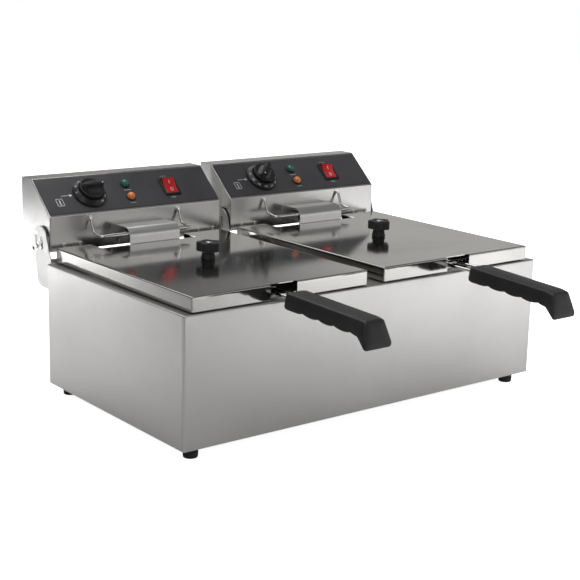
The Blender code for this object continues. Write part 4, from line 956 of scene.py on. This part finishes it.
for side in ("left", "right"):
    low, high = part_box(f"head_housing_{side}")
    node = f"head_housing_{side}"
    head = f"head_{side}"
    mouth = high.y - MOUTH_DEPTH

    def long_fold(middle, length, mouth=mouth):
        """True for the housing's own folds, away from the open back."""
        return length > LONG_FOLD and middle.y < mouth

    softened(f"{node}_folded", node, HEAD_FOLD, head_steel, head, "brushed_stainless", 3, long_fold)
    node = f"head_back_cover_{side}"
    softened(f"{node}_plate", node, PUNCHED_EDGE, cover_steel, head, "brushed_stainless")
    cover_low, cover_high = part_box(node)
    screws = []
    facing_back = Matrix.Rotation(math.radians(-90), 4, "X")
    for x in (cover_low.x + COVER_INSET, cover_high.x - COVER_INSET):
        for z in (cover_low.z + COVER_INSET, cover_high.z - COVER_INSET):
            place = Matrix.Translation((x, cover_high.y, z))
            screws.append(moved(screw_head(COVER_SCREW), place @ facing_back))
    facing_front = Matrix.Rotation(math.radians(90), 4, "X")
    for x in FACE_SCREW_X:
        place = Matrix.Translation(((low.x + high.x) / 2 + x, low.y, low.z + FACE_SCREW_LIFT))
        screws.append(moved(screw_head(FACE_SCREW), place @ facing_front))
    piece(f"head_{side}_screws", mesh_of("screws", *screws), chrome, head, "chrome_wire")
    for end in ("outer", "inner"):
        node = f"head_studs_{side}_{end}"
        softened(f"{node}_strip", node, PUNCHED_EDGE, chrome, head, "brushed_stainless")

# ---- Label panels --------------------------------------------------------------------------
# A charcoal printed film on each slope, with dial pointer, lamp captions, switch marks
# and a framed symbol in white print.
LABEL_SKIN = 0.0009
LABEL_EDGE = 0.00015
PRINT = 0.00005
PRINT_GAP = 0.00002
DIAL = (-0.0610, 0.0315)
LAMP_X = -0.0032
GREEN_S, AMBER_S = 0.0420, 0.0200
SWITCH = (0.0630, 0.0315)
POINTER = ((-0.0295, 0.0021), (-0.0295, -0.0021), (-0.0248, 0))
SYMBOL = (-0.1075, 0.0215)
POINTER_STEM, STEM_LENGTH, STEM_WIDTH = 0.0360, 0.0110, 0.0006
SYMBOL_FRAME = (0.0048, 0.0060, 0.0014, 0.0006)
SYMBOL_BAR, SYMBOL_BAR_RISE = (0.0062, 0.0012), 0.0007
SYMBOL_DOT, SYMBOL_DOT_DROP = (0.0014, 0.0014, 0.00139, 0.0005), 0.0033
CAPTION_DASH = (0.0013, 0.0012)
CAPTION_DROP = 0.0098
CAPTION_PITCH = 0.0021
CAPTION_MARKS = ((GREEN_S, 5), (AMBER_S, 4))
MARK_REACH, MARK_SHIFT, MARK_SIZE = 0.0185, 0.0020, 0.0042
MARK_DASH = (0.0022, 0.0005)
label_film = finish_of(
    "charcoal_label", (0.042, 0.042, 0.047), (0.058, 0.058, 0.063), (0.36, 0.48), 0.0,
    (2200, 2200, 2200), 3e-6, patch=10.0,
)
print_white = finish_of(
    "white_print", (0.78, 0.78, 0.78), (0.60, 0.60, 0.60), (0.42, 0.55), 0.0,
    (1800, 1800, 1800), 2e-6, patch=90.0,
)


def bar_mark(x, y, length, width, turn=0.0):
    """A printed bar centred at (x, y), with rounded ends."""
    rings = [np.column_stack([
        np.concatenate([
            arc((length / 2 - width / 2, 0), width / 2, -90, 90, 4),
            arc((-length / 2 + width / 2, 0), width / 2, 90, 270, 4),
        ]), np.full(10, z)]) for z in (0, PRINT)]
    place = Matrix.Translation((x, y, 0)) @ Matrix.Rotation(turn, 4, "Z")
    return moved(grid_shape(np.array(rings), caps=True), place)


def ring_mark(x, y, half_x, half_y, corner, width):
    """A printed frame: a rounded rectangle's band, closed all round."""
    band = [(0, 0), (0, PRINT), (-width, PRINT), (-width, 0), (0, 0)]
    return round_pan((x, y), (half_x, half_y), corner, band)


def figures(text, size, place):
    """Figures in Blender's own face, as thin raised print carried by a matrix."""
    curve = bpy.data.curves.new("figures", "FONT")
    curve.body = text
    curve.size = size
    curve.extrude = PRINT
    curve.align_x = "CENTER"
    curve.align_y = "CENTER"
    curve.resolution_u = 3
    holder = bpy.data.objects.new("figures", curve)
    scene.collection.objects.link(holder)
    whole = holder.evaluated_get(bpy.context.evaluated_depsgraph_get())
    flat = bpy.data.meshes.new_from_object(whole)
    points = np.empty(len(flat.vertices) * 3)
    flat.vertices.foreach_get("co", points)
    faces = [list(face.vertices) for face in flat.polygons]
    bpy.data.objects.remove(holder)
    return moved((points.reshape(-1, 3), faces), place)


for side in ("left", "right"):
    node = f"label_panel_{side}"
    softened(f"{node}_film", node, LABEL_EDGE, label_film, f"head_{side}", "label_black")
    pointer = np.array(POINTER) + DIAL
    rows = np.array([np.column_stack([pointer, np.full(3, z)]) for z in (0, PRINT)])
    marks = [grid_shape(rows, caps=True)]
    marks.append(bar_mark(DIAL[0] - POINTER_STEM, DIAL[1], STEM_LENGTH, STEM_WIDTH))
    marks.append(ring_mark(*SYMBOL, *SYMBOL_FRAME))
    marks.append(bar_mark(SYMBOL[0], SYMBOL[1] + SYMBOL_BAR_RISE, *SYMBOL_BAR, math.pi / 2))
    marks.append(ring_mark(SYMBOL[0], SYMBOL[1] - SYMBOL_DOT_DROP, *SYMBOL_DOT))
    for lamp, count in CAPTION_MARKS:
        for number in range(count):
            shift = (number - (count - 1) / 2) * CAPTION_PITCH
            marks.append(bar_mark(LAMP_X + shift, lamp - CAPTION_DROP, *CAPTION_DASH))
    mark_x = SWITCH[0] - MARK_SHIFT
    for y, mark in ((SWITCH[1] + MARK_REACH, "I"), (SWITCH[1] - MARK_REACH, "0")):
        marks.append(figures(mark, MARK_SIZE, Matrix.Translation((mark_x, y, PRINT))))
        for step in (-1.5, 1.5):
            marks.append(bar_mark(mark_x + step * MARK_DASH[0], y, *MARK_DASH))
    place = fascia(side) @ Matrix.Translation((0, 0, LABEL_SKIN + PRINT_GAP))
    shape = [moved(mark, place) for mark in marks]
    piece(f"label_{side}_print", mesh_of("print", *shape, crease=20), print_white,
          f"head_{side}", "label_black")

# ---- Thermostats and dials -------------------------------------------------------------------
# A capillary thermostat behind each slope carries a moulded dial: a conical skirt with
# the temperature figures, a grooved drum and a waisted finger bar with a white dot.
DIAL_LIFT = 0.0017
SKIRT_RADIUS = 0.0232
DRUM_RADIUS = 0.0168
SKIRT_TOP = 0.0068
DRUM_TOP = 0.0122
BAR_TOP = 0.0208
RIM_HEIGHT, RIM_TOP, RIM_ROUND = 0.0012, 0.0014, 0.0008
DIAL_EDGE = 0.0004
GROOVE, DRUM_ROUND = 0.0006, 0.0012
DRUM_DISH = 0.0016
BAR_ROOT = DRUM_TOP - 0.0022
BAR_LONG, BAR_DRAFT = 0.0152, 0.0008
BAR_HALF, BAR_SPLAY = 0.0030, 0.0090
BAR_CROWN = (0.0134, 0.0022)
DOT_RADIUS, DOT_PLACE = 0.0011, 0.0118
BAR_SIDES = 48
FIGURE_SIZE = 0.0036
FIGURE_TURN = 30
FIGURES = ("0", "60", "80", "100", "120", "140", "160", "180", "200")
DIAL_TURNS = {"left": 0.0, "right": math.radians(-135)}
dial_black = finish_of(
    "dial_black", (0.010, 0.010, 0.011), (0.018, 0.018, 0.019), (0.29, 0.40), 0.0,
    (1600, 1600, 1600), 4e-6, patch=50.0,
)
ceramic = finish_of(
    "steatite", (0.80, 0.78, 0.72), (0.66, 0.63, 0.57), (0.55, 0.75), 0.0,
    (1200, 1200, 1200), 1e-5, patch=60.0,
)
for side in ("left", "right"):
    profile = np.concatenate([
        [(0, 0), (SKIRT_RADIUS - DIAL_EDGE, 0), (SKIRT_RADIUS, DIAL_EDGE), (SKIRT_RADIUS, RIM_HEIGHT)],
        arc((SKIRT_RADIUS - RIM_ROUND, RIM_TOP), RIM_ROUND, 10, 50, 3),
        arc((DRUM_RADIUS + GROOVE, SKIRT_TOP - GROOVE), GROOVE, 50, 120, 3),
        [(DRUM_RADIUS - DIAL_EDGE, SKIRT_TOP - 2 * GROOVE), (DRUM_RADIUS - DIAL_EDGE, SKIRT_TOP)],
        arc((DRUM_RADIUS - DRUM_ROUND, DRUM_TOP - DRUM_ROUND), DRUM_ROUND, 0, 90, 5),
        [(DRUM_RADIUS - BAR_HALF, DRUM_TOP - DIAL_EDGE), (0, DRUM_TOP - DRUM_DISH)],
    ])
    levels = np.linspace(0, 1, 9)
    height = BAR_ROOT + (BAR_TOP - BAR_ROOT) * levels
    flank = BAR_HALF + BAR_SPLAY * (1 - levels) ** 2.2
    length = BAR_LONG - BAR_DRAFT * levels
    height = np.append(height, [BAR_TOP + DIAL_EDGE, BAR_TOP + DIAL_EDGE])
    flank = np.append(flank, [BAR_CROWN[1], 0.0])
    length = np.append(length, [BAR_CROWN[0], 0.0])
    angle = np.linspace(0, 2 * np.pi, BAR_SIDES, endpoint=False)
    soft = np.abs(np.cos(angle)) ** 0.45 * np.sign(np.cos(angle))
    bar = np.stack([
        length[:, None] * soft, flank[:, None] * np.sin(angle), height[:, None] * np.ones(BAR_SIDES)
    ], -1)
    seat = fascia(side) @ Matrix.Translation((*DIAL, DIAL_LIFT))
    place = seat @ Matrix.Rotation(DIAL_TURNS[side], 4, "Z")
    body = f"dial_{side}"
    piece(f"dial_{side}_moulding",
          mesh_of("dial", moved(turned(profile, 72), place), moved(grid_shape(bar), place), crease=38),
          dial_black, body, "black_plastic", f"thermostat_dial_{side}")
    slope = math.atan2(SKIRT_TOP - RIM_TOP, SKIRT_RADIUS - DRUM_RADIUS)
    middle_radius = (SKIRT_RADIUS + DRUM_RADIUS) / 2 + 0.0004
    dot = turned([(0, 0), (DOT_RADIUS, 0), (DOT_RADIUS - 0.0002, 0.0002), (0, 0.0002)], 12)
    marks = [moved(dot, Matrix.Translation((DOT_PLACE, 0, BAR_TOP + 0.0003)))]
    for number, figure in enumerate(FIGURES):
        spin = Matrix.Rotation(math.pi - math.radians(FIGURE_TURN * number), 4, "Z")
        lie = Matrix.Translation((middle_radius, 0, (SKIRT_TOP + 0.0016) / 2 + 0.0001))
        lean = Matrix.Rotation(slope, 4, "Y") @ Matrix.Rotation(math.radians(90), 4, "Z")
        marks.append(figures(figure, FIGURE_SIZE, spin @ lie @ lean))
    piece(f"dial_{side}_figures", mesh_of("figures", *(moved(m, place) for m in marks), crease=20),
          print_white, body, "label_black")
    for node in (f"thermostat_{side}", f"terminal_block_{side}"):
        softened(f"{node}_body", node, 0.0004, ceramic, f"head_{side}", "ceramic")

# ---- Pilot lamps -----------------------------------------------------------------------------
# A green and an amber lamp in each head: a faceted moulded lens, held by a black collar.
LENS_RADIUS = 0.0056
LENS_STEM, LENS_TAIL = 0.0048, 0.018
LENS_FLATTEN = 0.92
COLLAR_RADIUS, COLLAR_HEIGHT = 0.0068, 0.0012
COLLAR_GAP = 0.0002
SEAT_GAP = 0.0003
lens_green = finish_of(
    "lens_green", (0.004, 0.115, 0.085), (0.010, 0.170, 0.120), (0.10, 0.24), 0.0,
    (300, 300, 300), 2e-5, patch=120.0, Coat_Weight=0.6,
)
lens_amber = finish_of(
    "lens_amber", (0.80, 0.215, 0.045), (0.90, 0.34, 0.10), (0.12, 0.28), 0.0,
    (300, 300, 300), 2e-5, patch=120.0, Coat_Weight=0.6,
)
for side in ("left", "right"):
    for lens, along, material, slot in (
        ("green", GREEN_S, lens_green, "lens_green"), ("amber", AMBER_S, lens_amber, "lens_amber")
    ):
        place = fascia(side) @ Matrix.Translation((LAMP_X, along, LABEL_SKIN + SEAT_GAP))
        dome = np.concatenate([
            [(0, -LENS_TAIL), (LENS_STEM, -LENS_TAIL), (LENS_STEM, 0)],
            [(LENS_RADIUS, 0), (LENS_RADIUS, COLLAR_HEIGHT)],
            arc((0, COLLAR_HEIGHT), LENS_RADIUS, 8, 84, 7) * (1, LENS_FLATTEN) + (0, 0.0001),
            [(0, COLLAR_HEIGHT + LENS_RADIUS * LENS_FLATTEN)],
        ])
        piece(f"lamp_{lens}_{side}_lens",
              mesh_of("lens", moved(turned(dome, 40, lobes=10, depth=0.00012), place), crease=50),
              material, f"head_{side}", slot, f"lamp_{lens}_{side}")
        mouth = LENS_RADIUS + COLLAR_GAP
        edge = COLLAR_HEIGHT / 2
        collar = np.concatenate([
            [(mouth, 0), (COLLAR_RADIUS, 0)], arc((COLLAR_RADIUS - edge, edge), edge, 0, 90, 4),
            [(mouth, COLLAR_HEIGHT), (mouth, 0)],
        ])
        piece(f"lamp_{lens}_{side}_collar", mesh_of("collar", moved(turned(collar, 32), place)),
              dial_black, f"head_{side}", "black_plastic")

# ---- Power switches ----------------------------------------------------------------------------
# A snap-in rocker switch in each head: a black frame and a glossy red rocker whose lower
# end is pressed, so that the fryer is off.
ROCKER_TILT = math.radians(10)
FRAME = (0.0250, 0.0300)
ROCKER_INSET = 0.0035
ROCKER_RISE, ROCKER_CURL, ROCKER_DEEP = 0.0022, 0.0016, 0.0062
CURL_POWER = 1.6
ROCKER_EDGE = 0.0007
FRAME_EDGE = 0.0005
ROCKER_STROKE = (0.0052, 0.0011)
ROCKER_RING = (0.0021, 0.0028, 0.00209, 0.0008)
rocker_red = finish_of(
    "rocker_red", (0.52, 0.008, 0.012), (0.66, 0.020, 0.018), (0.14, 0.26), 0.0,
    (400, 400, 400), 4e-6, patch=70.0, Coat_Weight=0.5,
)
print_pink = finish_of(
    "rocker_print", (0.86, 0.62, 0.60), (0.76, 0.50, 0.48), (0.36, 0.48), 0.0,
    (1800, 1800, 1800), 2e-6, patch=90.0,
)
for side in ("left", "right"):
    head = f"head_{side}"
    node = f"switch_body_{side}"
    softened(f"switch_{side}_frame", node, FRAME_EDGE, dial_black, head, "black_plastic")
    seat = fascia(side) @ Matrix.Translation((*SWITCH, LABEL_SKIN + SEAT_GAP))
    place = seat @ Matrix.Rotation(ROCKER_TILT, 4, "X")
    half_x = FRAME[0] / 2 - ROCKER_INSET
    half_y = FRAME[1] / 2 - ROCKER_INSET
    across_y = np.linspace(-half_y, half_y, 25)
    crown = ROCKER_RISE + ROCKER_CURL * (np.abs(across_y) / half_y) ** CURL_POWER
    base = [(half_y * 0.88, -ROCKER_DEEP), (-half_y * 0.88, -ROCKER_DEEP)]
    outline = np.concatenate([np.column_stack([across_y, crown]), base])
    centre_yz = np.array([0, -ROCKER_DEEP / 2])
    edge = ((half_x, 0.93), (half_x - ROCKER_EDGE * 0.3, 0.98), (half_x - ROCKER_EDGE, 1.0))
    rows = []
    for x, shrink in [(-x, shrink) for x, shrink in edge] + list(reversed(edge)):
        ring = centre_yz + (outline - centre_yz) * shrink
        rows.append(np.column_stack([np.full(len(ring), x), ring]))
    button = moved(grid_shape(np.array(rows), caps=True), place)
    piece(f"rocker_{side}_button", mesh_of("rocker", button, crease=40),
          rocker_red, f"rocker_{side}", "rocker_red", f"rocker_{side}")
    slope = math.atan(ROCKER_CURL * CURL_POWER * 0.5 ** (CURL_POWER - 1) / half_y)
    lift = ROCKER_RISE + ROCKER_CURL * 0.5**CURL_POWER + 0.0001
    upper = Matrix.Translation((0, half_y * 0.5, lift)) @ Matrix.Rotation(slope, 4, "X")
    lower = Matrix.Translation((0, -half_y * 0.5, lift)) @ Matrix.Rotation(-slope, 4, "X")
    stroke = moved(bar_mark(0, 0, *ROCKER_STROKE, math.pi / 2), place @ upper)
    circle = moved(ring_mark(0, 0, *ROCKER_RING), place @ lower)
    piece(f"rocker_{side}_marks", mesh_of("marks", stroke, circle, crease=20), print_pink,
          f"rocker_{side}", "rocker_red")

# ---- Element guards and basket hooks ---------------------------------------------------------------
# A bright bent cover shields each element where it leaves the head; a welded rod frame
# with a thicker cross bar carries the basket while it drains.
GUARD_SHEET = 0.0010
GUARD_ROUND = 0.0125
GUARD_FLANGE = 0.0180
GUARD_EDGE = 0.0012
GUARD_TAB = 0.0065
TAB_TOP, TAB_FOOT = 0.0006, 0.0176
HOOK_ENTRY, HOOK_KNEE = 0.0395, 0.0225
HOOK_BEND = 0.0030
HOOK_INSIDE, HOOK_STUB, HOOK_FALL = 0.0030, 0.0035, 0.0110
WASHER = ((0, 0), (0.0042, 0), (0.0040, 0.0008), (0, 0.0009))
SLEEVE_SHORT = 0.006
guard_steel = finish_of(
    "bright_bent_sheet", (0.78, 0.78, 0.775), (0.70, 0.70, 0.69), (0.29, 0.36), 1.0,
    (1, 500, 500), 2e-7, patch=16.0, wave=6.0e-5,
)
for side in ("left", "right"):
    low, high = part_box(f"element_guard_{side}")
    head_low, head_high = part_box(f"head_housing_{side}")
    head = f"head_{side}"
    front, top, back = low.y, high.z, high.y
    nose = (front + GUARD_ROUND, top - GUARD_ROUND)
    outline = np.concatenate([
        arc(nose, GUARD_ROUND, 180, 90, 14),
        arc((back - GUARD_EDGE, top - GUARD_EDGE), GUARD_EDGE, 90, 0, 3),
        [(back, top - GUARD_FLANGE), (back - GUARD_SHEET, top - GUARD_FLANGE)],
        [(back - GUARD_SHEET, top - GUARD_SHEET)], arc(nose, GUARD_ROUND - GUARD_SHEET, 90, 180, 14),
        [(front + GUARD_SHEET, low.z), (front, low.z)],
    ])
    tab_end = low.x + GUARD_TAB
    tab_ring = np.array([
        (back - GUARD_SHEET, top - TAB_FOOT), (back, top - TAB_FOOT),
        (back, top - TAB_TOP), (back - GUARD_SHEET, top - TAB_TOP),
    ])
    shape = []
    for ring, ends in ((outline, (tab_end, high.x)), (tab_ring, (low.x, tab_end))):
        rows = np.array([np.column_stack([np.full(len(ring), x), ring]) for x in ends])
        shape.append(grid_shape(rows, caps=True))
    piece(f"element_guard_{side}_cover", mesh_of("guard", *shape, crease=30), guard_steel, head,
          "polished_stainless", f"element_guard_{side}")

    x = (head_low.x + head_high.x) / 2 + HOOK_OFFSET
    bottom = head_low.z
    hook_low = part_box(f"basket_hook_{side}")[0]
    bar_y = hook_low.y + HOOK_ROD
    bar_z = hook_low.z + HOOK_ROD
    half = HOOK_WIDTH / 2
    leg = [
        (half, head_low.y + HOOK_INSIDE, bottom + HOOK_ENTRY),
        (half, head_low.y - HOOK_STUB, bottom + HOOK_ENTRY),
        (half, head_low.y - HOOK_FALL, bottom + HOOK_KNEE),
        (half, bar_y, bar_z),
    ]
    corners = [(x - px, y, z) for px, y, z in leg] + [(x + px, y, z) for px, y, z in reversed(leg)]
    rod = tubes(bent(corners, HOOK_BEND, 6), HOOK_ROD * 0.82, (0, -0.57, 0.82), 14)
    sleeve_x = half - SLEEVE_SHORT
    sleeve_path = [(x - sleeve_x, bar_y, bar_z), (x + sleeve_x, bar_y, bar_z)]
    sleeve = tubes(sleeve_path, HOOK_ROD * 1.22, (0, 0, 1), 18)
    washers = []
    for px in (-half, half):
        place = Matrix.Translation((x + px, head_low.y, bottom + HOOK_ENTRY))
        washers.append(moved(turned(WASHER, 20), place @ Matrix.Rotation(math.radians(90), 4, "X")))
    piece(f"basket_hook_{side}_rod", mesh_of("hook", rod, sleeve, *washers), chrome, head,
          "chrome_wire", f"basket_hook_{side}")

# ---- Rear fittings -------------------------------------------------------------------------------
# The high-limit reset plunger through each rear cover and the ribbed gland for the
# supply cord under each head.
GLAND_RIBS, RIB_DEPTH = 6, 0.0011
GLAND_BORE, GLAND_NECK = 0.0036, 0.0056
GLAND_LIP, GLAND_TOP = 0.0015, 0.0030
GLAND_GAP = 0.0003
for side in ("left", "right"):
    node = f"reset_button_{side}"
    softened(f"reset_{side}_plunger", node, 0.0005, rocker_red, f"reset_{side}", "rocker_red")
    low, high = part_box(f"cable_gland_{side}")
    middle = (low + high) / 2
    radius = (high.x - low.x) / 2
    deck_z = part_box(f"head_housing_{side}")[0].z
    drop = deck_z - low.z
    ribs = [
        (radius - 0.0002 - RIB_DEPTH * (i % 2), -GLAND_GAP - (drop - 0.0008) * (0.1 + 0.16 * i))
        for i in reversed(range(GLAND_RIBS))
    ]
    profile = [
        (GLAND_BORE, -drop), (radius - 0.0020, -drop), *ribs, (radius, -GLAND_GAP),
        (GLAND_NECK, -GLAND_GAP), (GLAND_NECK, GLAND_LIP), (radius * 0.9, GLAND_LIP),
        (radius * 0.9, GLAND_TOP), (GLAND_BORE, GLAND_TOP), (GLAND_BORE, -drop),
    ]
    shape = moved(turned(profile, 32), Matrix.Translation((middle.x, middle.y, deck_z)))
    piece(f"cable_gland_{side}_bush", mesh_of("gland", shape), rubber, f"head_{side}", "black_plastic",
          f"cable_gland_{side}")
